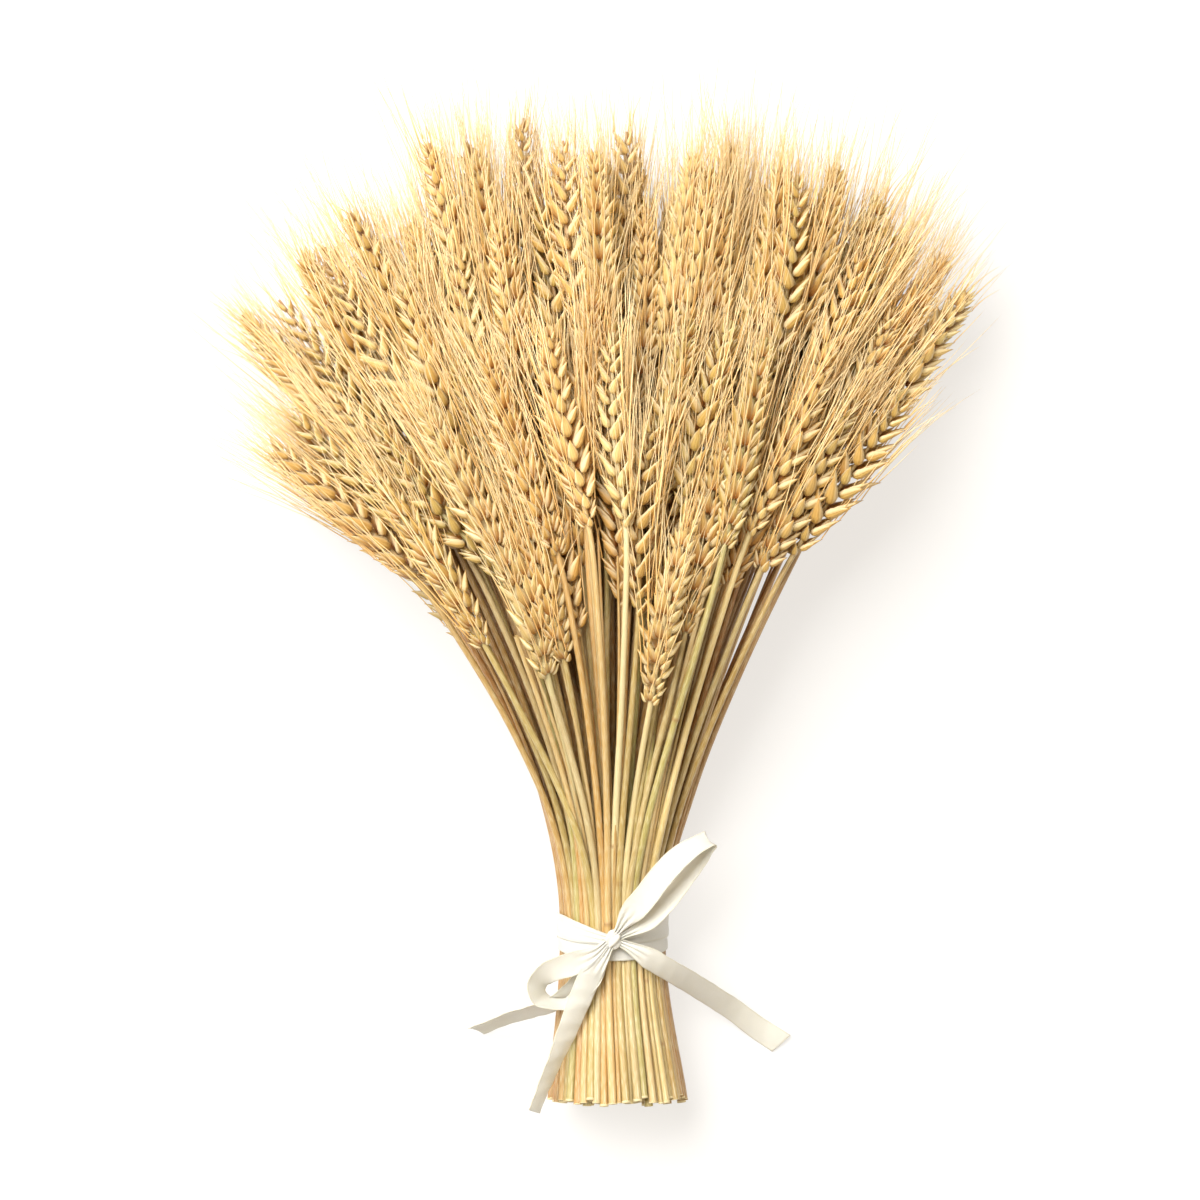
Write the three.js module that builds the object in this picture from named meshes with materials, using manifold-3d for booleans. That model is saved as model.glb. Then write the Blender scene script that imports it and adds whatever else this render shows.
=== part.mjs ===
// A bunch of dried, awned wheat, tied at the waist with a satin ribbon and lying on its side.
//
// Millimetres. +Y runs along the stalks from the cut ends to the ears, +X is to the right of someone
// who looks down on the bunch with the ears pointing away, and +Z is up. The origin is on the surface
// that the bunch lies on, right under the middle of the tie.
//
// Every stalk is a stem, an ear of spikelets and a few awns, joined as one solid. The ribbon is one
// strip: two turns round the stems, a knot, two loops and three tails.
import * as THREE from "three";
import Module from "manifold-3d";

const wasm = await Module();
wasm.setup();

// ---------------------------------------------------------------- driving dimensions

const TIE_RADIUS = 22; // the stems where the ribbon holds them
const CUT_RADIUS = 29; // the stems at their cut ends
const CUT_Y = -67; // how far the cut ends are from the tie
const CUT_SCATTER = 2; // the ends are not all cut to one length
const CUT_SHIFT = 2; // the foot of the bunch swings a little to the right
const CUT_Z = 25.8; // height of the middle of the cut ends

const ROW_COUNTS = [5, 7, 9, 10, 11, 11, 10, 9, 7, 5]; // stems in each row of the tie, from below
const ROW_PITCH = 4.1; // height from row to row at the tie
const EAR_ROW_PITCH = 10; // the least height from row to row among the ears
const DOME = 0.2; // how much lower the ears at the sides are
const SPREAD_START = 9; // the stems run straight through the tie up to here
const FLARE = { left: 0.0003, right: 0.0021 }; // how much the stems open right above the tie
const SPREAD_END = 150; // the rows are fully apart from here on

const STEM_CUT = 2.2; // stem radius at the cut end, to the corners
const STEM_TIE = 1.9; // at the tie
const STEM_NECK = 1.4; // just under the ear
const STEM_SIDES = 5;
const STEM_BENDS = [0.27, 0.52, 0.76]; // where the stem bends between the tie and the ear

const EAR_HALF_WIDTH = 6.4; // over the two rows of spikelets
const EAR_HALF_FACE = 5.2; // across them
const SPIKELETS = 5; // on each side of an ear
const SCALE_LEAN = 4.2; // how far a spikelet's point is ahead of its middle
const NOTCH = 0.66; // depth of the notch between two spikelets, as a share of the half width
const EAR_ROOM = 6.1; // radius that an ear keeps for itself
const NECK_ROOM = 3.4; // the same at its foot and tip

const AWN_LEVELS = [2, 3, 4, 5, 6, 7, 8]; // the spikelets that carry an awn
const AWN_RADIUS = 0.5;
const AWN_PAST_TIP = [4, 17]; // how far the awns reach past the ear's tip
const AWN_SPLAY = [0.1, 0.26]; // radians away from the ear's own direction
const AWN_TRIES = 40;
const AWN_GAP = 0.4;

const GAP = 0.5; // between stalks that lie on each other
const STEM_SAG = 3; // how far a bend of a stem hangs below the line of its neighbours
const LOWEST_EAR_Z = 5.2; // the ears of the bottom row lie on the surface
const PAIR_SPACING = 2.6; // two stems that the tie presses into each other
const SCATTER = 5; // how far an ear underneath is from the middle between two on top
const UNDERSIDE_SCALE = 0.97; // the ears underneath spread a little less

const RIBBON_WIDTH = 12;
const RIBBON_THICK = 0.8;
const BAND_GAP = 0.3; // between the outer stems and the ribbon
const BAND_SIDES = 20;
const BAND_INNER = TIE_RADIUS + BAND_GAP;
const BAND_OUTER = BAND_INNER + RIBBON_THICK;
const BAND_HALF = 8; // half of the height of the two turns together
const BAND_HALF_AT_KNOT = 5.5; // where the knot gathers them
const TIE_Z = BAND_OUTER; // the band's underside lies on the surface

// The ears that show from above, as [foot x, foot y, tip x, tip y]. Each group of ears is one row of
// the tie, from the middle row up to the top one. The rows underneath lie in the gaps between these.
const EARS = [
  [
    [-98, 192, -150, 251], [-87, 202, -125, 276], [-76, 218, -106, 292], [-66, 206, -79, 286],
    [-55, 240, -74, 320], [-40, 246, -36, 330], [44, 240, 47, 319], [56, 224, 64, 303],
    [76, 222, 108, 299], [84, 205, 120, 280], [97, 197, 143, 260],
  ],
  [
    [-76, 150, -128, 208], [-67, 200, -112, 267], [-50, 196, -62, 277], [-22, 214, -29, 297],
    [-12, 240, -20, 320], [8, 208, 13, 290], [21, 236, 33, 314], [35, 214, 44, 297],
    [68, 230, 90, 309], [75, 184, 114, 252],
  ],
  [
    [-79, 145, -137, 198], [-61, 158, -115, 218], [-36, 154, -64, 234], [-2, 232, -7, 314],
    [4, 134, -5, 213], [34, 131, 47, 210], [46, 142, 74, 217], [62, 224, 74, 306],
    [72, 154, 117, 216],
  ],
  [
    [-44, 144, -94, 206], [-26, 106, -48, 186], [-14, 122, -41, 203], [-11, 179, -8, 260],
    [16, 167, 31, 248], [28, 170, 47, 247], [54, 162, 87, 238],
  ],
  [
    [-51, 118, -99, 190], [-22, 154, -51, 235], [5, 165, 0, 242], [15, 95, 32, 172],
    [44, 157, 61, 240],
  ],
];

// ---------------------------------------------------------------- small helpers

const vec = (x, y, z) => new THREE.Vector3(x, y, z);
const mix = THREE.MathUtils.lerp;
const mid = (ROW_COUNTS.length - 1) / 2;

// A repeatable run of numbers from 0 to 1.
function randomFrom(seed) {
  let state = seed;
  return () => {
    state = (state * 1664525 + 1013904223) % 4294967296;
    return state / 4294967296;
  };
}

// The triangles between two rings. A ring is [its first point, its number of points], and a ring of
// one point makes a cone. Where the numbers differ, the ring that is behind takes the next step.
function stitch([a, countA], [b, countB]) {
  const faces = [];
  const stepsA = countA > 1 ? countA : 0;
  const stepsB = countB > 1 ? countB : 0;
  let i = 0;
  let j = 0;
  while (i < stepsA || j < stepsB) {
    const here = a + (i % countA);
    const there = b + (j % countB);
    if (i === stepsA || (j < stepsB && (j + 0.5) / stepsB <= (i + 0.5) / stepsA)) {
      j += 1;
      faces.push(here, b + (j % countB), there);
    } else {
      i += 1;
      faces.push(here, a + (i % countA), there);
    }
  }
  return faces;
}

// The closed skin through a run of rings. The first and last ring are either capped flat or one point.
function loft(rings) {
  const spans = [];
  let count = 0;
  for (const ring of rings) {
    spans.push([count, ring.length]);
    count += ring.length;
  }
  const faces = spans.slice(1).flatMap((span, i) => stitch(spans[i], span));
  const [last, corners] = spans.at(-1);
  for (let j = 1; j + 1 < rings[0].length; j++) faces.push(0, j + 1, j);
  for (let j = 1; j + 1 < corners; j++) faces.push(last, last + j, last + j + 1);
  return { points: rings.flat(), faces };
}

// Draws a vertex of a skin out into a needle. The vertex becomes a small triangle, and the needle's
// three sides stand on it.
function drawNeedle({ points, faces }, vertex, end) {
  const next = new Map();
  const others = [];
  for (let i = 0; i < faces.length; i += 3) {
    const at = faces.slice(i, i + 3).indexOf(vertex);
    if (at < 0) others.push(...faces.slice(i, i + 3));
    else next.set(faces[i + ((at + 1) % 3)], faces[i + ((at + 2) % 3)]);
  }
  const around = [next.keys().next().value];
  while (around.length < next.size) around.push(next.get(around.at(-1)));
  const seats = [0, 1, 2].map((third) => Math.round((third * around.length) / 3));
  const base = points.length;
  const corners = seats.map((seat) => {
    const outward = points[around[seat]].clone().sub(points[vertex]).normalize();
    return points[vertex].clone().addScaledVector(outward, AWN_RADIUS);
  });
  around.forEach((here, k) => {
    const after = around[(k + 1) % around.length];
    const corner = seats.filter((seat) => seat <= k).length - 1;
    others.push(base + corner, here, after);
    if (seats.includes(k)) others.push(base + ((corner + 2) % 3), here, base + corner);
  });
  for (let k = 0; k < 3; k++) others.push(base + k, base + ((k + 1) % 3), base + 3);
  return { points: [...points, ...corners, end], faces: others };
}

// Turns a skin into a solid. Points that no face uses any more are left out.
function solid({ points, faces }) {
  const used = [...new Set(faces)];
  const place = new Map(used.map((index, i) => [index, i]));
  const vertProperties = new Float32Array(used.flatMap((index) => points[index].toArray()));
  const build = (triangles) =>
    new wasm.Manifold(
      new wasm.Mesh({ numProp: 3, vertProperties, triVerts: new Uint32Array(triangles) }),
    );
  const triangles = faces.map((index) => place.get(index));
  const made = build(triangles);
  return made.volume() > 0 ? made : build(triangles.reverse());
}

function join(solids) {
  return solids.reduce((whole, piece) => whole.add(piece));
}

function meshOf(made, name, color, roughness) {
  const { vertProperties, triVerts, numProp, numVert } = made.getMesh();
  const positions = new Float32Array(numVert * 3);
  for (let i = 0; i < numVert; i++) {
    positions.set(vertProperties.subarray(i * numProp, i * numProp + 3), i * 3);
  }
  const geometry = new THREE.BufferGeometry();
  geometry.setAttribute("position", new THREE.BufferAttribute(positions, 3));
  geometry.setIndex(new THREE.BufferAttribute(new Uint32Array(triVerts), 1));
  geometry.computeVertexNormals();
  const material = new THREE.MeshStandardMaterial({ color, roughness, metalness: 0 });
  const mesh = new THREE.Mesh(geometry, material);
  mesh.name = name;
  return mesh;
}

// Two unit vectors across a direction. The first is level, and turn swings both round the direction.
function across(direction, turn = 0) {
  const level = vec(direction.y, -direction.x, 0).normalize();
  const up = level.clone().cross(direction).normalize();
  const first = level.clone().multiplyScalar(Math.cos(turn)).addScaledVector(up, Math.sin(turn));
  return [first, first.clone().cross(direction).normalize()];
}

// ---------------------------------------------------------------- where the stalks lie

// The stem and the ear, seen from above. The heights come later, from layHeights.
function stalkPath(row, place, ear, random) {
  const [tieX, cutX] = tiePlace(row, place);
  const cutY = CUT_Y + (random() * 2 - 1) * CUT_SCATTER;
  const roll = random() * Math.PI;
  const sway = (random() * 2 - 1) * 2.5;
  const [footX, footY, tipX, tipY] = ear;
  const foot = vec(footX, footY, 0);
  const tip = vec(tipX, tipY, 0);
  const along = tip.clone().sub(foot).normalize();
  const tie = vec(tieX, SPREAD_START, 0);
  const run = foot.distanceTo(tie);
  const flare = tieX > 0 ? FLARE.right : FLARE.left;
  const arrival = foot.clone().sub(tie).normalize().add(along).normalize();
  const curve = new THREE.CubicBezierCurve3(
    tie,
    vec(tieX * (1 + run * flare), SPREAD_START + run * 0.28, 0),
    foot.clone().addScaledVector(arrival, -run * 0.33),
    foot,
  );
  const middle = foot.clone().lerp(tip, 0.5).addScaledVector(vec(along.y, -along.x, 0), sway);
  const bends = STEM_BENDS.map((share) => curve.getPoint(share));
  const points = [vec(cutX, cutY, 0), vec(tieX, -SPREAD_START, 0), tie, ...bends, foot, middle, tip];
  const neck = 3 + bends.length; // the ear starts at this point
  const radii = points.slice(0, neck + 1).map((_, i) => stemRadius(i, neck));
  const room = [...radii.slice(0, -1), NECK_ROOM, EAR_ROOM, NECK_ROOM];
  return { row, place, points, radii, room, neck, roll };
}

function stemRadius(i, neck) {
  return i === 0 ? STEM_CUT : mix(STEM_TIE, STEM_NECK, Math.max(0, i - 2) / (neck - 2));
}

// Where a stalk crosses the tie and the cut, from side to side. Partners stand close together.
function tiePlace(row, place) {
  const height = (row - mid) * ROW_PITCH;
  const reach = Math.sqrt((TIE_RADIUS - STEM_TIE) ** 2 - height ** 2);
  const slots = ROW_COUNTS[row] - 1;
  const first = place - (place % 2);
  const x = isPaired(row, place)
    ? mix(-reach, reach, (first + 0.5) / slots) + (place === first ? -0.5 : 0.5) * PAIR_SPACING
    : mix(-reach, reach, place / slots);
  return [x, x * (CUT_RADIUS / TIE_RADIUS) + CUT_SHIFT];
}

// Two by two, the inner rows share a node. An odd one out at the end of a row stays alone.
function isPaired(row, place) {
  const inner = row >= 1 && row <= 6;
  return inner && place - (place % 2) + 1 < ROW_COUNTS[row];
}

const arePartners = (a, b) =>
  a.row === b.row && isPaired(a.row, a.place) && a.place >> 1 === b.place >> 1;

// A stalk's points are joined by straight pieces. Each is a cone with a radius at both ends.
function piecesOf({ points, room }) {
  return points.slice(1).map((to, i) => ({
    from: points[i],
    to,
    fromRoom: room[i],
    toRoom: room[i + 1],
  }));
}

// The height that a spot of a stalk needs to clear a piece that already lies there.
function heightOver(x, y, radius, { from, to, fromRoom, toRoom }) {
  const runX = to.x - from.x;
  const runY = to.y - from.y;
  const along = ((x - from.x) * runX + (y - from.y) * runY) / (runX ** 2 + runY ** 2);
  const at = Math.min(1, Math.max(0, along));
  const apart = Math.hypot(x - mix(from.x, to.x, at), y - mix(from.y, to.y, at));
  const room = radius + mix(fromRoom, toRoom, at) + GAP;
  return apart < room ? mix(from.z, to.z, at) + Math.sqrt(room ** 2 - apart ** 2) : -Infinity;
}

// Every spot of a stalk that another one holds up, as the number of its piece, the share along it, and
// the height it needs.
function spotsHeldUp(stalk, placed) {
  const spots = [];
  piecesOf(stalk).forEach(({ from, to, fromRoom, toRoom }, piece) => {
    if (piece < 2) return;
    const steps = Math.ceil(from.distanceTo(to) / 2);
    for (let k = 0; k <= steps; k++) {
      const share = k / steps;
      const x = mix(from.x, to.x, share);
      const y = mix(from.y, to.y, share);
      const radius = mix(fromRoom, toRoom, share);
      let height = -Infinity;
      for (const other of placed) {
        if (arePartners(stalk, other) && piece < 4) continue;
        for (const lying of piecesOf(other).slice(2)) {
          height = Math.max(height, heightOver(x, y, radius, lying));
        }
      }
      if (height > -Infinity) spots.push({ piece, share, height });
    }
  });
  return spots;
}

// Lifts the ends of the pieces until every spot is high enough. The end at the tie stays where it is.
function lift(points, spots) {
  for (let pass = 0; pass < 60; pass++) {
    for (const { piece, share, height } of spots) {
      const short = height - mix(points[piece].z, points[piece + 1].z, share);
      if (short <= 0) continue;
      if (piece === 2 && share < 0.5) continue;
      const near = piece === 2 ? 0 : 1 - share;
      const whole = near * (1 - share) + share * share;
      points[piece].z += (short * near) / whole;
      points[piece + 1].z += (short * share) / whole;
    }
  }
}

// The stalks are laid down one after another from the bottom row up. Each lies at its own row's
// height, or higher where the stalks under it hold it up. A stem is stiff, so it hardly sags between.
function layHeights(stalks) {
  const placed = [];
  for (const stalk of stalks) {
    const { points, row, neck } = stalk;
    const tieZ = TIE_Z + (row - mid) * ROW_PITCH;
    for (const point of points) {
      const droop = 1 - DOME * (point.x / 150) ** 2;
      const earZ = LOWEST_EAR_Z + row * EAR_ROW_PITCH * droop;
      point.z = mix(tieZ, earZ, THREE.MathUtils.smoothstep(point.y, SPREAD_START, SPREAD_END));
    }
    points[0].z = CUT_Z + (row - mid) * ROW_PITCH * (CUT_RADIUS / TIE_RADIUS);
    const spots = spotsHeldUp(stalk, placed);
    for (let pass = 0; pass < 3; pass++) {
      lift(points, spots);
      for (let k = 3; k <= neck; k++) {
        const line = (points[k - 1].z + points[k + 1].z) / 2;
        points[k].z = Math.max(points[k].z, line - STEM_SAG);
      }
    }
    lift(points, spots);
    placed.push(stalk);
  }
}

// The ears of one row, left to right as their stems leave the tie. An ear of a row underneath is
// halfway between two of the same row on top. The last one lies below an outermost ear.
function earsOfRow(row, random) {
  const ears = [...EARS[Math.abs(row - mid) - 0.5]].sort((a, b) => a[0] / a[1] - b[0] / b[1]);
  if (row > mid) return ears;
  const outermost = row % 2 ? ears.at(-1) : ears[0];
  const between = ears.slice(1).map((ear, i) => ear.map((value, k) => (value + ears[i][k]) / 2));
  const own = row % 2 ? [...between, outermost] : [outermost, ...between];
  return own.map((ear) => {
    const [moveX, moveY] = [random(), random()].map((value) => (value * 2 - 1) * SCATTER);
    return ear.map((value, k) => value * UNDERSIDE_SCALE + (k % 2 ? moveY : moveX));
  });
}

function layOut() {
  const random = randomFrom(11);
  const stalks = ROW_COUNTS.flatMap((_, row) =>
    earsOfRow(row, random).map((ear, place) => stalkPath(row, place, ear, random)),
  );
  layHeights(stalks);
  return stalks;
}

// ---------------------------------------------------------------- one stalk

function stemRings({ points, radii, neck, roll }) {
  return radii.map((radius, i) => {
    const before = points[Math.max(0, i - 1)];
    const direction = points[i + 1].clone().sub(before).normalize();
    const [right, up] = across(direction, roll);
    return Array.from({ length: STEM_SIDES }, (_, j) => {
      const angle = (j / STEM_SIDES) * Math.PI * 2;
      const point = points[i].clone().addScaledVector(right, Math.cos(angle) * radius);
      return point.addScaledVector(up, Math.sin(angle) * radius);
    });
  });
}

// A point of the ear's own line, and the directions along and across it there.
function earFrame({ points, neck, roll }, share) {
  const [foot, middle, tip] = points.slice(neck);
  const first = share < 0.5;
  const centre = first
    ? foot.clone().lerp(middle, share * 2)
    : middle.clone().lerp(tip, share * 2 - 1);
  const lower = middle.clone().sub(foot).normalize();
  const upper = tip.clone().sub(middle).normalize();
  const along = lower.lerp(upper, THREE.MathUtils.smoothstep(share, 0.25, 0.75)).normalize();
  const [side, face] = across(along, roll);
  return { centre, along, side, face };
}

// Slim at the foot, widest at a third, drawn in to the tip.
const earTaper = (share) =>
  mix(0.62, 1, Math.min(1, share * 4)) * mix(1, 0.5, Math.max(0, (share - 0.35) / 0.65) ** 1.5);

// The spikelets stand left and right by turns. Each one's outer edge leans out and up to a point, and
// the next one starts deep behind it.
function earRings(stalk) {
  const levels = SPIKELETS * 2;
  return Array.from({ length: levels }, (_, k) => {
    const share = (k + 0.35) / levels;
    const { centre, along, side, face } = earFrame(stalk, share);
    const taper = earTaper(share);
    const corner = (direction, reach, lift) =>
      centre.clone().addScaledVector(direction, reach * taper).addScaledVector(along, lift);
    const left = k % 2 === 0;
    const out = EAR_HALF_WIDTH;
    const deep = EAR_HALF_WIDTH * NOTCH;
    const [high, low] = [EAR_HALF_FACE, EAR_HALF_FACE * 0.8];
    return [
      corner(side, left ? out : deep, left ? SCALE_LEAN : -0.6),
      corner(face, left ? high : low, 1.2),
      corner(side, left ? -deep : -out, left ? -0.6 : SCALE_LEAN),
      corner(face, left ? -low : -high, 1.2),
    ];
  });
}

function closestApart(a0, a1, b0, b1) {
  const a = a1.clone().sub(a0);
  const b = b1.clone().sub(b0);
  const between = a0.clone().sub(b0);
  const aa = a.dot(a);
  const bb = b.dot(b);
  const ab = a.dot(b);
  const clamp = (value) => Math.min(1, Math.max(0, value));
  const spread = aa * bb - ab * ab;
  let s = spread > 1e-9 ? clamp((ab * b.dot(between) - bb * a.dot(between)) / spread) : 0;
  const t = clamp((ab * s + b.dot(between)) / bb);
  s = clamp((ab * t - a.dot(between)) / aa);
  const apart = a0.clone().addScaledVector(a, s).distanceTo(b0.clone().addScaledVector(b, t));
  return { apart, s, t };
}

function isClear(root, end, node, stalks, awns) {
  const floor = AWN_RADIUS * 2;
  if (Math.min(root.z, end.z) < floor) return false;
  const reach = root.distanceTo(end);
  const halfway = root.clone().lerp(end, 0.5);
  for (const other of stalks) {
    if (other.node === node) continue;
    for (const piece of piecesOf(other)) {
      const far = halfway.distanceTo(piece.from) > reach / 2 + piece.from.distanceTo(piece.to) + 10;
      if (far) continue;
      const { apart, t } = closestApart(root, end, piece.from, piece.to);
      const room = mix(piece.fromRoom, piece.toRoom, t) + AWN_RADIUS + AWN_GAP;
      if (apart < room) return false;
    }
  }
  for (const other of awns) {
    if (other.node === node) continue;
    const { apart } = closestApart(root, end, other.root, other.end);
    if (apart < AWN_RADIUS * 2 + AWN_GAP) return false;
  }
  return true;
}

// The points of the spikelets that carry an awn, as indices into the stalk's skin. They go round the
// ear, so the awns stand evenly on all its sides.
const awnRoots = ({ neck }) =>
  AWN_LEVELS.map((level) => {
    const left = level % 2 === 0;
    const onFace = level % 4 > 1;
    const corner = onFace ? (left ? 1 : 3) : left ? 0 : 2;
    return (neck + 1) * STEM_SIDES + level * 4 + corner;
  });

// Awns spring from the spikelets' points. One that would cross a neighbour is bent clear: it tries
// other directions and shorter lengths, and is left out if none is free.
function growAwns(stalks) {
  const random = randomFrom(23);
  const awns = [];
  for (const turn of AWN_LEVELS.keys()) {
    for (const stalk of stalks) {
      const vertex = awnRoots(stalk)[turn];
      const root = stalk.skin.points[vertex];
      const tip = stalk.points.at(-1);
      const { centre, along, side, face } = earFrame(stalk, (AWN_LEVELS[turn] + 0.35) / SPIKELETS / 2);
      const outward = root.clone().sub(centre);
      outward.addScaledVector(along, -outward.dot(along)).normalize();
      for (let attempt = 0; attempt < AWN_TRIES; attempt++) {
        const wide = 0.3 + attempt / AWN_TRIES;
        const aim = outward
          .clone()
          .addScaledVector(side, (random() * 2 - 1) * wide)
          .addScaledVector(face, (random() * 2 - 1) * wide)
          .normalize();
        const splay = mix(...AWN_SPLAY, random());
        const past = mix(...AWN_PAST_TIP, random()) * (attempt < AWN_TRIES / 2 ? 1 : 0.4);
        const heading = along.clone().addScaledVector(aim, Math.tan(splay)).normalize();
        const end = root.clone().addScaledVector(heading, root.distanceTo(tip) + past);
        if (!isClear(root, end, stalk.node, stalks, awns)) continue;
        awns.push({ stalk, vertex, node: stalk.node, root, end });
        break;
      }
    }
  }
  return awns;
}

// ---------------------------------------------------------------- the ribbon

// A flat strip through [x, y, z] points. The hint says which way its width lies, from start to end.
function strip(line, startHint, endHint, width = RIBBON_WIDTH) {
  const points = line.map(([x, y, z]) => vec(x, y, z));
  const rings = points.map((point, i) => {
    const before = points[Math.max(0, i - 1)];
    const after = points[Math.min(points.length - 1, i + 1)];
    const along = after.clone().sub(before).normalize();
    const hint = vec(...startHint).lerp(vec(...endHint), i / (points.length - 1));
    const wide = hint.addScaledVector(along, -hint.dot(along)).normalize();
    const thick = wide.clone().cross(along).normalize();
    // the knot gathers a strip that starts or ends in it
    const gather = line[i][3] ?? 1;
    const corner = (w, t) =>
      point
        .clone()
        .addScaledVector(wide, (w * width * gather) / 2)
        .addScaledVector(thick, (t * RIBBON_THICK) / 2);
    return [corner(1, 1), corner(-1, 1), corner(-1, -1), corner(1, -1)];
  });
  return solid(loft(rings));
}

// The two turns round the stems. Their flats are tangent to the circle, and one flat is underneath.
function bandSolid() {
  const half = Math.PI / BAND_SIDES;
  const profile = (radius) =>
    Array.from({ length: BAND_SIDES }, (_, i) => {
      const angle = i * 2 * half - Math.PI / 2 + half;
      const x = (Math.cos(angle) * radius) / Math.cos(half);
      const z = (Math.sin(angle) * radius) / Math.cos(half);
      const nearKnot = THREE.MathUtils.smoothstep(Math.sin(angle), 0.6, 1);
      return { x, z, reach: mix(BAND_HALF, BAND_HALF_AT_KNOT, nearKnot) };
    });
  const drum = (radius, extra) => {
    const edge = profile(radius);
    const ends = [-1, 1].map((end) =>
      edge.map(({ x, z, reach }) => vec(x, end * (reach + extra), TIE_Z + z)),
    );
    return solid(loft([[vec(0, ends[0][0].y, TIE_Z)], ...ends, [vec(0, ends[1][0].y, TIE_Z)]]));
  };
  return drum(BAND_OUTER, 0).subtract(drum(BAND_INNER, 5));
}

// The knot is a small cushion, a little longer than it is wide.
function knotSolid(x, y, z) {
  const ring = (radius, lift) =>
    [0, 1, 2, 3, 4, 5].map((k) => {
      const angle = (k / 6) * Math.PI * 2 + 0.4;
      return vec(x + Math.cos(angle) * radius * 1.1, y + Math.sin(angle) * radius, z + lift);
    });
  return solid(loft([ring(3.4, -2.6), ring(4.8, 0), ring(3.2, 2.6)]));
}

// Every strip starts inside the knot, where the knot gathers it.
function ribbonSolid() {
  const top = TIE_Z + BAND_OUTER;
  const [x, y, z] = [0, -1, top + 2.2];
  const frontTail = strip(
    [
      [x - 1.2, y - 2.4, z + 0.4, 0.4], [-6, -13, 50.8], [-13, -30, 51], [-21, -48, 48],
      [-28, -63, 43.5], [-31, -71, 41],
    ],
    [0.9, -0.4, 0],
    [0.72, -0.3, 0.62],
  );
  const rightTail = strip(
    [
      [x + 2.4, y - 1.2, z - 0.6, 0.4], [10, -6, 49], [19, -12, 46], [28, -17, 38], [35, -21.5, 26],
      [42, -26, 14], [50, -30.5, 5], [60, -36, 0.8], [72, -43, 0.6],
    ],
    [0.5, 0.86, 0],
    [0.5, 0.86, 0],
  );
  const leftTail = strip(
    [
      [x - 2.4, y - 1, z - 1.4, 0.4], [-9, -6.5, 46.6, 0.8], [-17.5, -12.5, 43.4], [-26.5, -19.5, 35.2],
      [-32, -23, 25], [-40, -27.5, 14.5], [-50, -32.5, 8.5], [-58, -36.5, 6.2],
    ],
    [-0.3, 0.9, 0],
    [-0.2, 0.3, 0.95],
  );
  const leftLoop = strip(
    [
      [x - 2.6, y + 0.6, z + 0.8, 0.4], [-10, -2, 52.5], [-20, -6, 52], [-28.5, -11, 47.5],
      [-33.5, -16, 42.5], [-33, -21, 38.5], [-28.5, -23, 39.5], [-22, -21.5, 44], [-13, -16, 47.8],
      [x - 1.8, y - 2.4, z - 0.4, 0.4],
    ],
    [-0.2, 1, 0],
    [-0.4, 1, 0],
  );
  const upperLoop = strip(
    [
      [x + 1.4, y + 2.4, z + 1, 0.4], [5.5, 9.5, 55.5], [14, 20.5, 61.5], [24, 32, 65], [33, 38.5, 64],
      [36.5, 37, 60.5], [32.5, 26, 58], [20, 11, 54], [x + 2.6, y + 0.8, z + 0.2, 0.4],
    ],
    [0.7, -0.7, 0],
    [0.75, -0.66, 0],
  );
  return join([bandSolid(), knotSolid(x, y, z), frontTail, rightTail, leftTail, leftLoop, upperLoop]);
}

// ---------------------------------------------------------------- the bunch

function stalkSkin(stalk) {
  return loft([...stemRings(stalk), ...earRings(stalk), [stalk.points.at(-1)]]);
}

const number = (index) => String(index + 1).padStart(2, "0");

function nameNodes(stalks) {
  const fromTop = [...stalks].reverse();
  fromTop.forEach((stalk, i) => {
    stalk.number = i;
  });
  for (const stalk of fromTop) {
    if (!isPaired(stalk.row, stalk.place)) {
      stalk.node = `stalk_${number(stalk.number)}`;
      continue;
    }
    const first = stalk.number - (stalk.place % 2 === 0 ? 1 : 0);
    stalk.node = `stalks_${number(first)}_${number(first + 1)}`;
  }
}

function buildBunch() {
  const bunch = new THREE.Group();
  const stalks = layOut();
  nameNodes(stalks);
  for (const stalk of stalks) stalk.skin = stalkSkin(stalk);
  for (const { stalk, vertex, end } of growAwns(stalks)) {
    stalk.skin = drawNeedle(stalk.skin, vertex, end);
  }
  const palest = new THREE.Color(0xe3c987);
  const deepest = new THREE.Color(0xc99a54);
  const nodes = Map.groupBy(stalks, (stalk) => stalk.node);
  [...nodes].reverse().forEach(([name, members], i) => {
    const made = join(members.map(({ skin }) => solid(skin))).trimByPlane([0, 0, 1], 0);
    const color = palest.clone().lerp(deepest, ((i * 5) % 8) / 8);
    bunch.add(meshOf(made, name, color, 0.7));
  });
  bunch.add(meshOf(ribbonSolid(), "ribbon", 0xf4f1e4, 0.4));
  return bunch;
}

export default buildBunch();
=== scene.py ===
# %% [markdown]
# # A bunch of dried wheat, tied with an ivory ribbon
#
# This notebook dresses a solid model of a wheat bunch, so that it looks like the real thing. The solid
# model gives every stalk as a plain faceted body. Here each stalk gets a round straw, an ear of pointed
# scales and its long bristles, and the ribbon gets its thin, shiny cloth.
#
# The work starts with the solid model, because everything else has to sit where the model says.

import math

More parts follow.
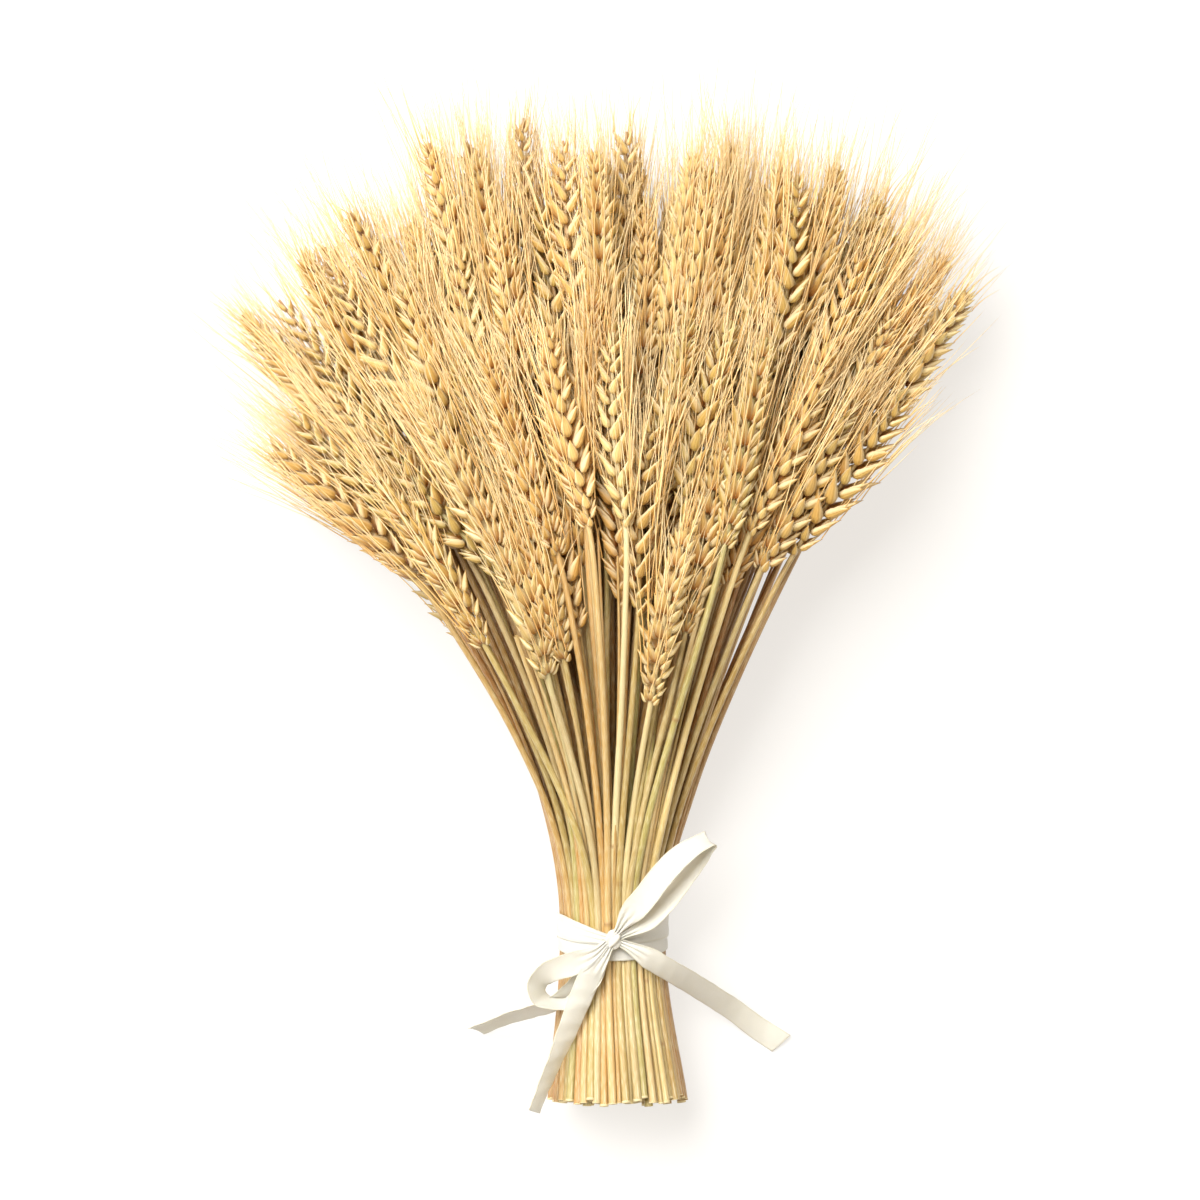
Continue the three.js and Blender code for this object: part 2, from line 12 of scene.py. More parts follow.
import bmesh
import bpy
import numpy as np
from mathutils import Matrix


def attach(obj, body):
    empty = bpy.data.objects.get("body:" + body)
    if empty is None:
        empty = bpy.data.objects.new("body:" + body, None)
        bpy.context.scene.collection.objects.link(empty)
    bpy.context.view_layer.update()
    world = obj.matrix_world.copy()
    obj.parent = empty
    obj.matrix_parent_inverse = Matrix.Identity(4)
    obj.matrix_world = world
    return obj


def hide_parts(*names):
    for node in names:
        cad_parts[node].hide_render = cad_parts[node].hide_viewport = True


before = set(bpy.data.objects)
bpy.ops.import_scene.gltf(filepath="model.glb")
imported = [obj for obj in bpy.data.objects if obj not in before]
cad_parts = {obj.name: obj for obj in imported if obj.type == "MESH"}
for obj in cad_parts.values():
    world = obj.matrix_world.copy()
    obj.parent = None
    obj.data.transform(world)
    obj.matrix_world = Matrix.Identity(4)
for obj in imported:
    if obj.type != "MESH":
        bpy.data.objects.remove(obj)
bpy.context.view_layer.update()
MM = 0.001
print("solid nodes:", len(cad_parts))

# %% [markdown]
# ## The camera
#
# A bunch without a vase lies down, so the camera looks straight down on it, with the ears at the top of
# the picture. A long lens far away keeps the perspective weak, as in a studio photograph. Its distance
# follows from the width of the picture at the height of the upper ears.

# %% Set up the camera
PICTURE_CENTRE = (-5.2, 136.0)
PICTURE_WIDTH = 480.0
PICTURE_HEIGHT_ABOVE_FLOOR = 70.0
LENS = 180.0
SENSOR = 36.0

camera_data = bpy.data.cameras.new("camera")
camera_data.lens = LENS
camera_data.sensor_width = SENSOR
camera_data.clip_start = 0.05
camera_data.clip_end = 20.0
camera = bpy.data.objects.new("camera", camera_data)
distance = PICTURE_WIDTH * LENS / SENSOR
camera.location = (
    PICTURE_CENTRE[0] * MM,
    PICTURE_CENTRE[1] * MM,
    (PICTURE_HEIGHT_ABOVE_FLOOR + distance) * MM,
)
scene = bpy.context.scene
scene.collection.objects.link(camera)
scene.camera = camera
print("the camera hangs", round(camera.location.z, 2), "m above the floor")

# %% [markdown]
# ## Light and floor
#
# The photograph has soft light from the upper left and a white ground without a shadow. One very large
# lamp, high above, makes shadows without an edge. A low one on the left gives each straw its pale side,
# and a weak one on the right keeps the other side from going black. The air around is warm, because
# light that is caught between dry stalks turns golden before it comes out again. The floor is a grey
# sheet that glows like a light table. It comes out just white and no brighter, so that the thin awns
# still show against it, and the shadow on it stays light. The standard view keeps colours as given.

# %% Make the light and the floor
LIT_SPOT = np.array([0.0, 0.14, 0.05])
# name, place in metres, side in metres, power in watts, colour
LAMPS = [
    ("key_lamp", (-0.65, 0.9, 1.8), 1.3, 71.0, (1.0, 0.995, 0.97)),
    ("low_lamp", (-1.5, 0.3, 0.8), 1.0, 12.0, (1.0, 0.985, 0.96)),
    ("side_lamp", (1.3, -0.5, 1.4), 1.6, 13.0, (1.0, 0.93, 0.82)),
]
AIR_COLOUR, AIR_STRENGTH = (1.0, 0.84, 0.64, 1.0), 0.3
FLOOR_REACH = 6
FLOOR_GREY, FLOOR_ROUGHNESS = (0.28, 0.28, 0.28, 1.0), 0.9
GLOW_COLOUR, GLOW_STRENGTH = (1.0, 0.98, 0.95, 1.0), 0.68
scene.view_settings.view_transform = "Standard"


def add_lamp(name, place, size, power, colour):
    """A square lamp that points at the middle of the bunch."""
    data = bpy.data.lights.new(name, "AREA")
    data.size = size
    data.energy = power
    data.color = colour
    lamp = bpy.data.objects.new(name, data)
    lamp.location = place
    away = np.array(place) - LIT_SPOT
    lamp.rotation_mode = "XYZ"
    lamp.rotation_euler = (
        math.atan2(math.hypot(away[0], away[1]), away[2]),
        0.0,
        math.atan2(away[0], -away[1]),
    )
    scene.collection.objects.link(lamp)


for lamp in LAMPS:
    add_lamp(*lamp)

world = bpy.data.worlds.new("studio")
world.use_nodes = True
air = world.node_tree.nodes["Background"]
air.inputs["Color"].default_value = AIR_COLOUR
air.inputs["Strength"].default_value = AIR_STRENGTH
scene.world = world

floor_mesh = bpy.data.meshes.new("floor")
floor_corners = [(x * FLOOR_REACH, y * FLOOR_REACH, 0) for x, y in ((-1, -1), (1, -1), (1, 1), (-1, 1))]
floor_mesh.from_pydata(floor_corners, [], [(0, 1, 2, 3)])
floor = bpy.data.objects.new("floor", floor_mesh)
scene.collection.objects.link(floor)
floor_paint = bpy.data.materials.new("floor_paint")
floor_paint.use_nodes = True
floor_shader = floor_paint.node_tree.nodes["Principled BSDF"]
floor_shader.inputs["Base Color"].default_value = FLOOR_GREY
floor_shader.inputs["Roughness"].default_value = FLOOR_ROUGHNESS
floor_shader.inputs["Emission Color"].default_value = GLOW_COLOUR
floor_shader.inputs["Emission Strength"].default_value = GLOW_STRENGTH
floor_mesh.materials.append(floor_paint)
print("lamps:", [lamp.name for lamp in bpy.data.lights])

# %% [markdown]
# ## Where every stalk lies
#
# A stalk is cut at the bottom, runs through the tie, bends outward and ends in an ear. The solid model
# lays its stalks with a rule, and the same rule is used here, so that each fine stalk falls on its
# plain one. The ears are given as seen from above: where an ear starts, and where its tip is.

# %% The sizes of the bunch, in millimetres
TIE_RADIUS, CUT_RADIUS = 22.0, 29.0
CUT_Y, CUT_SCATTER, CUT_SHIFT, CUT_Z = -67.0, 2.0, 2.0, 25.8
ROW_COUNTS = [5, 7, 9, 10, 11, 11, 10, 9, 7, 5]
ROW_PITCH, EAR_ROW_PITCH, DOME = 4.1, 10.0, 0.2
SPREAD_START, SPREAD_END = 9.0, 150.0
FLARE_LEFT, FLARE_RIGHT = 0.0003, 0.0021
STEM_CUT, STEM_TIE, STEM_NECK = 2.2, 1.9, 1.4
STEM_BENDS = [0.27, 0.52, 0.76]
EAR_ROOM, NECK_ROOM, GAP = 6.1, 3.4, 0.5
STEM_SAG, LOWEST_EAR_Z, PAIR_SPACING = 3.0, 5.2, 2.6
SCATTER, UNDERSIDE_SCALE = 5.0, 0.97
TIE_Z = 23.1
SWAY = 2.5
LEAVING, ARRIVING = 0.28, 0.33
DOME_REACH = 150.0
SAMPLE_STEP = 2.0
LIFT_ROUNDS, SAG_ROUNDS = 60, 3
PLAN_SEED = 11
MIDDLE = (len(ROW_COUNTS) - 1) / 2

EARS = [
    [
        (-98, 192, -150, 251), (-87, 202, -125, 276), (-76, 218, -106, 292), (-66, 206, -79, 286),
        (-55, 240, -74, 320), (-40, 246, -36, 330), (44, 240, 47, 319), (56, 224, 64, 303),
        (76, 222, 108, 299), (84, 205, 120, 280), (97, 197, 143, 260),
    ],
    [
        (-76, 150, -128, 208), (-67, 200, -112, 267), (-50, 196, -62, 277), (-22, 214, -29, 297),
        (-12, 240, -20, 320), (8, 208, 13, 290), (21, 236, 33, 314), (35, 214, 44, 297),
        (68, 230, 90, 309), (75, 184, 114, 252),
    ],
    [
        (-79, 145, -137, 198), (-61, 158, -115, 218), (-36, 154, -64, 234), (-2, 232, -7, 314),
        (4, 134, -5, 213), (34, 131, 47, 210), (46, 142, 74, 217), (62, 224, 74, 306),
        (72, 154, 117, 216),
    ],
    [
        (-44, 144, -94, 206), (-26, 106, -48, 186), (-14, 122, -41, 203), (-11, 179, -8, 260),
        (16, 167, 31, 248), (28, 170, 47, 247), (54, 162, 87, 238),
    ],
    [
        (-51, 118, -99, 190), (-22, 154, -51, 235), (5, 165, 0, 242), (15, 95, 32, 172),
        (44, 157, 61, 240),
    ],
]
print("stalks:", sum(ROW_COUNTS), "in", len(ROW_COUNTS), "rows")


# %% Plan one stalk as seen from above
def random_run(seed):
    """A repeatable run of numbers from 0 to 1."""
    state = seed
    while True:
        state = (state * 1664525 + 1013904223) % 4294967296
        yield state / 4294967296


def mix(a, b, share):
    return a * (1 - share) + b * share


def smooth_step(value, low, high):
    share = min(1.0, max(0.0, (value - low) / (high - low)))
    return share * share * (3 - 2 * share)


def unit(vector):
    return vector / np.linalg.norm(vector)


def is_paired(row, place):
    """Two by two, the stalks of the inner rows share a node."""
    return 1 <= row <= 6 and place - place % 2 + 1 < ROW_COUNTS[row]


def tie_and_cut_x(row, place):
    """Where a stalk crosses the tie and the cut, from side to side."""
    height = (row - MIDDLE) * ROW_PITCH
    reach = math.sqrt((TIE_RADIUS - STEM_TIE) ** 2 - height**2)
    slots = ROW_COUNTS[row] - 1
    first = place - place % 2
    if is_paired(row, place):
        step = -0.5 if place == first else 0.5
        x = mix(-reach, reach, (first + 0.5) / slots) + step * PAIR_SPACING
    else:
        x = mix(-reach, reach, place / slots)
    return x, x * CUT_RADIUS / TIE_RADIUS + CUT_SHIFT


def bezier(corners, share):
    rest = 1 - share
    weights = [rest**3, 3 * rest**2 * share, 3 * rest * share**2, share**3]
    return sum(weight * corner for weight, corner in zip(weights, corners))


def plan_stalk(row, place, ear, random):
    """The bends of one stalk from its cut end to the tip of its ear, still without heights."""
    tie_x, cut_x = tie_and_cut_x(row, place)
    cut_y = CUT_Y + (next(random) * 2 - 1) * CUT_SCATTER
    roll = next(random) * math.pi
    sway = (next(random) * 2 - 1) * SWAY
    foot, tip = np.array([*ear[:2], 0.0]), np.array([*ear[2:], 0.0])
    along = unit(tip - foot)
    tie = np.array([tie_x, SPREAD_START, 0.0])
    run = np.linalg.norm(foot - tie)
    flare = FLARE_RIGHT if tie_x > 0 else FLARE_LEFT
    arrival = unit(unit(foot - tie) + along)
    opened = np.array([tie_x * (1 + run * flare), SPREAD_START + run * LEAVING, 0.0])
    corners = [tie, opened, foot - arrival * run * ARRIVING, foot]
    bends = [bezier(corners, share) for share in STEM_BENDS]
    middle = (foot + tip) / 2 + sway * np.array([along[1], -along[0], 0.0])
    cut, below = np.array([cut_x, cut_y, 0.0]), np.array([tie_x, -SPREAD_START, 0.0])
    neck = 3 + len(bends)
    above_cut = [mix(STEM_TIE, STEM_NECK, max(0, i - 2) / (neck - 2)) for i in range(1, neck + 1)]
    radii = [STEM_CUT, *above_cut]
    return {
        "row": row,
        "place": place,
        "points": np.array([cut, below, tie, *bends, foot, middle, tip]),
        "radii": radii,
        "room": [*radii[:-1], NECK_ROOM, EAR_ROOM, NECK_ROOM],
        "neck": neck,
        "roll": roll,
    }


def ears_of_row(row, random):
    """The ears of one row from left to right. A row underneath lies between the ears on top."""
    ears = sorted(EARS[int(abs(row - MIDDLE) - 0.5)], key=lambda ear: ear[0] / ear[1])
    if row > MIDDLE:
        return ears
    between = [[(a + b) / 2 for a, b in zip(*pair)] for pair in zip(ears, ears[1:])]
    own = [*between, ears[-1]] if row % 2 else [ears[0], *between]
    moved = []
    for ear in own:
        move = [(next(random) * 2 - 1) * SCATTER for _ in range(2)]
        moved.append([value * UNDERSIDE_SCALE + move[k % 2] for k, value in enumerate(ear)])
    return moved


# %% [markdown]
# The stalks are laid down one after another, from the bottom row up. Each keeps the height of its own
# row, unless a stalk under it holds it up. For that, every stalk is sampled along its length, and the
# height it needs at each spot is worked out for all the stalks that already lie there at once.


# %% Lay the stalks on each other
def spots_held_up(stalk, placed):
    """Every spot that another stalk holds up: its piece, the share along it, the height it needs."""
    points, room = stalk["points"], stalk["room"]
    spots = []
    if not placed:
        return spots
    starts = np.concatenate([other["points"][2:-1] for other in placed])
    ends = np.concatenate([other["points"][3:] for other in placed])
    room_a = np.concatenate([other["room"][2:-1] for other in placed])
    room_b = np.concatenate([other["room"][3:] for other in placed])
    partner = np.concatenate(
        [[is_partner(stalk, other)] * (len(other["room"]) - 3) for other in placed]
    )
    run = (ends - starts)[:, :2]
    for piece in range(2, len(points) - 1):
        steps = math.ceil(np.linalg.norm(points[piece + 1] - points[piece]) / SAMPLE_STEP)
        share = (np.arange(steps + 1) / steps)[:, None]
        spot = mix(points[piece], points[piece + 1], share)[:, None, :2]
        near = ((spot - starts[:, :2]) * run).sum(-1) / (run**2).sum(-1)
        near = near.clip(0, 1)
        apart = np.linalg.norm(spot - starts[:, :2] - near[..., None] * run, axis=-1)
        reach = mix(room[piece], room[piece + 1], share) + mix(room_a, room_b, near) + GAP
        height = mix(starts[:, 2], ends[:, 2], near) + np.sqrt(np.maximum(reach**2 - apart**2, 0))
        height[(apart >= reach) | (partner & (piece < 4))] = -np.inf
        for at, needed in zip(share[:, 0], height.max(axis=1)):
            if needed > -np.inf:
                spots.append((piece, float(at), float(needed)))
    return spots


def is_partner(one, other):
    if one["row"] != other["row"] or not is_paired(one["row"], one["place"]):
        return False
    return one["place"] // 2 == other["place"] // 2


def lift(heights, spots):
    """Raises the ends of the pieces until every spot is high enough. The tie stays where it is."""
    for _ in range(LIFT_ROUNDS):
        settled = True
        for piece, share, needed in spots:
            short = needed - mix(heights[piece], heights[piece + 1], share)
            if short <= 0 or (piece == 2 and share < 0.5):
                continue
            near = 0.0 if piece == 2 else 1 - share
            whole = near * (1 - share) + share * share
            heights[piece] += short * near / whole
            heights[piece + 1] += short * share / whole
            settled = False
        if settled:
            return


def lay_down(stalk, placed):
    """Gives one stalk its heights."""
    row, points, neck = stalk["row"], stalk["points"], stalk["neck"]
    tie_z = TIE_Z + (row - MIDDLE) * ROW_PITCH
    for point in points:
        ear_z = LOWEST_EAR_Z + row * EAR_ROW_PITCH * (1 - DOME * (point[0] / DOME_REACH) ** 2)
        point[2] = mix(tie_z, ear_z, smooth_step(point[1], SPREAD_START, SPREAD_END))
    points[0, 2] = CUT_Z + (row - MIDDLE) * ROW_PITCH * CUT_RADIUS / TIE_RADIUS
    spots = spots_held_up(stalk, placed)
    heights = [float(value) for value in points[:, 2]]
    for _ in range(SAG_ROUNDS):
        lift(heights, spots)
        for k in range(3, neck + 1):
            heights[k] = max(heights[k], (heights[k - 1] + heights[k + 1]) / 2 - STEM_SAG)
    lift(heights, spots)
    points[:, 2] = heights


def lay_out():
    """All stalks from the bottom row up, each with its bends, its radii and the name of its node."""
    random = random_run(PLAN_SEED)
    stalks = []
    for row in range(len(ROW_COUNTS)):
        ears = ears_of_row(row, random)
        stalks += [plan_stalk(row, place, ear, random) for place, ear in enumerate(ears)]
    placed = []
    for stalk in stalks:
        lay_down(stalk, placed)
        placed.append(stalk)
    for number, stalk in enumerate(reversed(stalks), start=1):
        stalk["number"] = number
        stalk["node"] = f"stalk_{number:02d}"
        if is_paired(stalk["row"], stalk["place"]):
            first = number if stalk["place"] % 2 else number - 1
            stalk["node"] = f"stalks_{first:02d}_{first + 1:02d}"
    return stalks


stalks = lay_out()
print("highest bend:", round(max(stalk["points"][:, 2].max() for stalk in stalks), 1), "mm")


# %% Check the plan against the solid model
def distance_to_solid(stalk):
    """How far the bends of a stalk's stem are from the nearest corner of its solid."""
    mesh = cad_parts[stalk["node"]].data
    corners = np.empty(len(mesh.vertices) * 3)
    mesh.vertices.foreach_get("co", corners)
    corners = corners.reshape(-1, 3) / MM
    bends = stalk["points"][: stalk["neck"] + 1]
    return max(np.linalg.norm(corners - bend, axis=1).min() for bend in bends)


print("largest distance from a bend to its solid:", round(max(map(distance_to_solid, stalks)), 2), "mm")

# %% [markdown]
# ## Stalks between the modelled ones
#
# The real bunch is denser than its solid model: more stems show at the tie, and ears fill the gaps
# between other ears. So a stalk is added midway between two neighbours of a row, where the middle of its
# ear keeps a least distance from the middles of all others. That is less than an ear's width, so the
# scales of neighbours mesh, as they do in a tight bunch. At the tie it rides up into the groove between
# its neighbours.

# %% Add stalks where there is room
STRAW_SHARE = 0.8
EXTRA_DROPS = (0.0, 4.0, -4.0)
EXTRA_ROOM = 7.6
EXTRA_SLIDE = 9.0
EDGE_ROOM = 0.3
ROLL_APART = 1.2
ADDED_SEED = 5
SLIDE_SHARES = np.array([0, 0, 0, 0.1, 0.3, 0.6, 1, 1, 1])
# the first bends stay inside the round edge of the bunch: which bend, the edge's middle and its radius
ROUND_EDGES = [
    (0, CUT_SHIFT, CUT_Z, CUT_RADIUS),
    (1, 0.0, TIE_Z, TIE_RADIUS),
    (2, 0.0, TIE_Z, TIE_RADIUS),
]


def ear_axis(points):
    """Spots along the middle of an ear."""
    halves = [np.linspace(points[k], points[k + 1], 5) for k in (-3, -2)]
    return np.concatenate(halves)


def stalk_between(one, other, drop, slide):
    """A stalk midway between two neighbours. A drop lowers its ear, and a slide moves it along."""
    points = (one["points"] + other["points"]) / 2
    neck = one["neck"]
    stems = slice(0, neck + 1)
    apart = np.linalg.norm(one["points"][stems] - other["points"][stems], axis=1)
    touching = 2 * STRAW_SHARE * np.array(one["radii"])
    groove = np.sqrt(np.maximum(touching**2 - (apart / 2) ** 2, 0))
    points[stems, 2] += groove
    for k, centre_x, centre_z, radius in ROUND_EDGES:
        inside = radius - STRAW_SHARE * one["radii"][k] - EDGE_ROOM
        highest = centre_z + math.sqrt(max(0.0, inside**2 - (points[k, 0] - centre_x) ** 2))
        points[k, 2] = min(points[k, 2], highest)
    points[:, 2] -= drop * SLIDE_SHARES
    points[:, :2] += slide * SLIDE_SHARES[:, None] * unit(points[-1] - points[-3])[:2]
    roll = one["roll"] + other["roll"] + ROLL_APART
    return {**one, "points": points, "roll": roll % math.pi}


def add_stalks(stalks):
    """Every stalk that finds room between two neighbours, from the top row down."""
    random = np.random.default_rng(ADDED_SEED)
    added = []
    for row in reversed(range(len(ROW_COUNTS))):
        members = [stalk for stalk in stalks if stalk["row"] == row]
        for one, other in zip(members, members[1:]):
            slide = random.uniform(-EXTRA_SLIDE, EXTRA_SLIDE)
            options = [stalk_between(one, other, drop, slide) for drop in EXTRA_DROPS]
            axes = np.concatenate([ear_axis(stalk["points"]) for stalk in stalks + added])
            room = [
                np.linalg.norm(ear_axis(option["points"])[:, None] - axes, axis=-1).min()
                for option in options
            ]
            best = int(np.argmax(room))
            if room[best] >= EXTRA_ROOM:
                number = len(stalks) + len(added) + 1
                added.append({**options[best], "number": number, "node": f"filling_row_{row:02d}"})
    return added


added_stalks = add_stalks(stalks)
print("stalks added between the others:", len(added_stalks))

# %% [markdown]
# A tied bunch has no air left in its middle. So a straw without an ear goes into every hole that is left
# at the cut, the widest hole first. Each follows the middle of its three nearest neighbours and ends
# about where their ears start. Before that, the straws leave their straight rows a little, because real
# ones settle as they can.

# %% Loosen the rows and fill the holes
SETTLED = 0.8
HOLE_STEP = 0.8
THINNEST, THICKEST = 0.85, 1.7
FLOOR_ROOM = 0.4
LOOSEN_SEED = 21
ASIDE_SHARES = (1.0, 0.8, 0.5, 0.2)
THINNER_ABOVE = 0.85


def loosen_rows(stalks):
    """Moves the cut end of every straw a little, but not into the floor."""
    random = np.random.default_rng(LOOSEN_SEED)
    for stalk in stalks:
        cut = stalk["points"][0]
        cut[[0, 2]] += random.uniform(-SETTLED, SETTLED, 2)
        cut[2] = max(cut[2], STRAW_SHARE * stalk["radii"][0])


def straw_in_hole(place, radius, stalks, cuts, number):
    """A straw without an ear at this place of the cut, led by its three nearest neighbours."""
    near = np.argsort(np.linalg.norm(cuts - place, axis=1))[:3]
    points = sum(stalks[k]["points"] for k in near) / 3
    neck = stalks[near[0]]["neck"]
    offset = (place - np.array([CUT_SHIFT, CUT_Z])) * TIE_RADIUS / CUT_RADIUS
    points[0, [0, 2]] = place
    aside = offset + np.array([0.0, TIE_Z]) - points[2, [0, 2]]
    points[1, [0, 2]] = offset + np.array([0.0, TIE_Z])
    for k, share in zip(range(2, neck), ASIDE_SHARES):
        points[k, [0, 2]] += aside * share
    thick = np.array(stalks[near[0]]["radii"]) * radius / STEM_CUT / STRAW_SHARE
    thick[1:] *= THINNER_ABOVE
    return {
        **stalks[near[0]],
        "points": points[: neck + 1],
        "radii": list(thick),
        "bare": True,
        "number": number,
        "node": "filling_straws",
    }


def fill_holes(stalks):
    """Straws for the holes of the cut, the widest hole first."""
    cuts = np.array([stalk["points"][0, [0, 2]] for stalk in stalks])
    thick = np.array([STRAW_SHARE * stalk["radii"][0] for stalk in stalks])
    steps = np.arange(-CUT_RADIUS, CUT_RADIUS, HOLE_STEP)
    across_cut, up = np.meshgrid(steps + CUT_SHIFT, steps + CUT_Z)
    places = np.stack([across_cut.ravel(), up.ravel()], axis=1)
    to_edge = CUT_RADIUS - EDGE_ROOM - np.linalg.norm(places - (CUT_SHIFT, CUT_Z), axis=1)
    to_straw = (np.linalg.norm(places[:, None] - cuts, axis=-1) - thick).min(1)
    room = np.minimum.reduce([to_edge, to_straw, places[:, 1] - FLOOR_ROOM])
    straws = []
    while room.max() > THINNEST:
        best = int(np.argmax(room))
        radius = min(float(room[best]), THICKEST)
        number = len(stalks) + len(straws) + 1
        straws.append(straw_in_hole(places[best], radius, stalks, cuts, number))
        room = np.minimum(room, np.linalg.norm(places - places[best], axis=1) - radius)
    return straws


loosen_rows(stalks + added_stalks)
filling_straws = fill_holes(stalks + added_stalks)
print("straws without an ear in the holes:", len(filling_straws))

# %% [markdown]
# ## Small helpers for node trees
#
# Geometry Nodes and materials are both made of nodes. One helper adds a node and fills its inputs in
# order, so that a tree reads almost like a formula. An input of None keeps its own value.


# %% Node helpers
def put(tree, kind, *values, named=None, **options):
    """Adds a node, fills its inputs in order or by name, and returns its first output."""
    made = tree.nodes.new(kind)
    for option, value in options.items():
        setattr(made, option, value)
    free = [socket for socket in made.inputs if socket.enabled]
    by_name = [(made.inputs[key], value) for key, value in (named or {}).items()]
    for socket, value in [*zip(free, values), *by_name]:
        if isinstance(value, bpy.types.NodeSocket):
            tree.links.new(value, socket)
        elif value is not None:
            socket.default_value = value
    return next(socket for socket in made.outputs if socket.enabled)


def calculate(tree, operation, *values):
    return put(tree, "ShaderNodeMath", *values, operation=operation)


def add_up(tree, *parts):
    """The sum of directions, each times its share."""
    total = None
    for direction, share in parts:
        part = put(tree, "ShaderNodeVectorMath", direction, share, operation="SCALE")
        if total is not None:
            part = put(tree, "ShaderNodeVectorMath", total, part, operation="ADD")
        total = part
    return total


def stored(tree, name, kind="FLOAT"):
    """Reads a value that every point of the guide carries."""
    return put(tree, "GeometryNodeInputNamedAttribute", name, data_type=kind)


def less_than(tree, value, limit):
    return put(
        tree, "FunctionNodeCompare", value, limit, data_type="FLOAT", operation="LESS_THAN"
    )


def chance(tree, low, high, seed):
    return put(tree, "FunctionNodeRandomValue", low, high, None, seed, data_type="FLOAT")


def noted(tree, copies, name, value, kind="FLOAT"):
    """Gives every copy a value, which its points still carry once they are real."""
    return put(
        tree,
        "GeometryNodeStoreNamedAttribute",
        copies,
        None,
        name,
        value,
        data_type=kind,
        domain="INSTANCE",
    )


def turned(tree, along, up):
    """The turn that brings a shape's Y to one direction and its Z near another."""
    return put(
        tree, "FunctionNodeAxesToRotation", along, up, primary_axis="Y", secondary_axis="Z"
    )


def copies_of(tree, shape, points, chosen, turn, size):
    """A copy of a shape on each chosen point."""
    form = put(tree, "GeometryNodeObjectInfo", shape).node.outputs["Geometry"]
    return put(
        tree, "GeometryNodeInstanceOnPoints", points, chosen, form, None, None, turn, size
    )


def start_tree(name, inputs):
    """A tree with a guide, named inputs and one piece as its output."""
    tree = bpy.data.node_groups.new(name, "GeometryNodeTree")
    tree.interface.new_socket("Guide", in_out="INPUT", socket_type="NodeSocketGeometry")
    for label, (kind, value) in inputs.items():
        item = tree.interface.new_socket(label, in_out="INPUT", socket_type=f"NodeSocket{kind}")
        if value is not None:
            item.default_value = value
    tree.interface.new_socket("Piece", in_out="OUTPUT", socket_type="NodeSocketGeometry")
    return tree, tree.nodes.new("NodeGroupInput").outputs


# %% [markdown]
# ## The three small shapes
#
# An ear is built from one scale, used thousands of times, so the scale has only a few dozen faces: a
# pointed boat, broad and keeled on its back, flatter inside. An awn is a needle with three sides. The
# third shape is the open end of a cut straw, with its hollow. Each shape carries a "skin" value that
# says where on the shape a point is, so that a material can draw veins along it.


# %% Build the scale, the awn and the straw end
def ringed_shape(name, rings, skins, tip=None, closed_start=True):
    """A shape through rings of equal count along +Y, with an optional tip and a closed start."""
    count = len(rings[0])
    points = [point for ring in rings for point in ring]
    skin = [value for ring in skins for value in ring]
    faces = []
    for i in range(len(rings) - 1):
        for j in range(count):
            a, b = i * count + j, i * count + (j + 1) % count
            faces.append((a, a + count, b + count, b))
    if tip:
        last = (len(rings) - 1) * count
        points.append(tip)
        skin.append((0.0, 1.0, 0.0))
        faces += [(last + j, len(points) - 1, last + (j + 1) % count) for j in range(count)]
    if closed_start:
        faces.append(tuple(range(count)))
    mesh = bpy.data.meshes.new(name)
    mesh.from_pydata(points, [], faces)
    mesh.shade_smooth()
    values = mesh.attributes.new("skin", "FLOAT_VECTOR", "POINT")
    values.data.foreach_set("vector", np.array(skin, dtype=np.float32).ravel())
    shape = bpy.data.objects.new(name, mesh)
    scene.collection.objects.link(shape)
    return shape


# share of the length, half width, height of the back, depth of the belly
SCALE_PROFILE = [
    (0.00, 0.060, 0.050, 0.030),
    (0.10, 0.135, 0.125, 0.060),
    (0.31, 0.172, 0.155, 0.085),
    (0.60, 0.118, 0.100, 0.060),
    (0.83, 0.046, 0.042, 0.025),
]
# the outline across a scale: both edges, the keel on its back and the belly under it
SCALE_CORNERS = [(-1.0, 0.0), (-0.62, 0.72), (0.0, 1.0), (0.62, 0.72), (1.0, 0.0), (0.0, -1.0)]
CURL, CURL_FROM = 0.07, 0.35
SCALE_TIP = (0.0, 1.0, 0.035)
NEEDLE_TAPER, NEEDLE_SIDES = 0.6, 3
AWN_SHARES = [0.0, 0.12, 0.28, 0.46, 0.66, 0.86]
AWN_TIP = (0.0, 1.0, 0.0)
# radius and depth of each ring, from the outside of the straw over its rim down into the hollow
END_RINGS = [(1.03, -0.5), (1.03, 0.0), (0.68, 0.05), (0.62, -2.0), (0.02, -2.1)]
END_SIDES = 10


def scale_ring(share, wide, back, belly):
    curl = CURL * (share - CURL_FROM) ** 2
    return [(x * wide, share, (back if z > 0 else belly) * z + curl) for x, z in SCALE_CORNERS]


def round_ring(radius, depth, sides):
    angles = [k * math.tau / sides for k in range(sides)]
    return [(math.cos(angle) * radius, depth, -math.sin(angle) * radius) for angle in angles]


scale_shape = ringed_shape(
    "scale_shape",
    [scale_ring(*profile) for profile in SCALE_PROFILE],
    [[(x, profile[0], 0.0) for x, z in SCALE_CORNERS] for profile in SCALE_PROFILE],
    tip=SCALE_TIP,
)
awn_shape = ringed_shape(
    "awn_shape",
    [round_ring((1 - share) ** NEEDLE_TAPER, share, NEEDLE_SIDES) for share in AWN_SHARES],
    [[(0.0, share, 0.0)] * NEEDLE_SIDES for share in AWN_SHARES],
    tip=AWN_TIP,
    closed_start=False,
)
straw_end = ringed_shape(
    "straw_end",
    [round_ring(*ring, END_SIDES) for ring in END_RINGS],
    [[(0.0, 0.0, k / (len(END_RINGS) - 1))] * END_SIDES for k in range(len(END_RINGS))],
    closed_start=False,
)
for shape in (scale_shape, awn_shape, straw_end):
    print(shape.name, "has", len(shape.data.polygons), "faces")

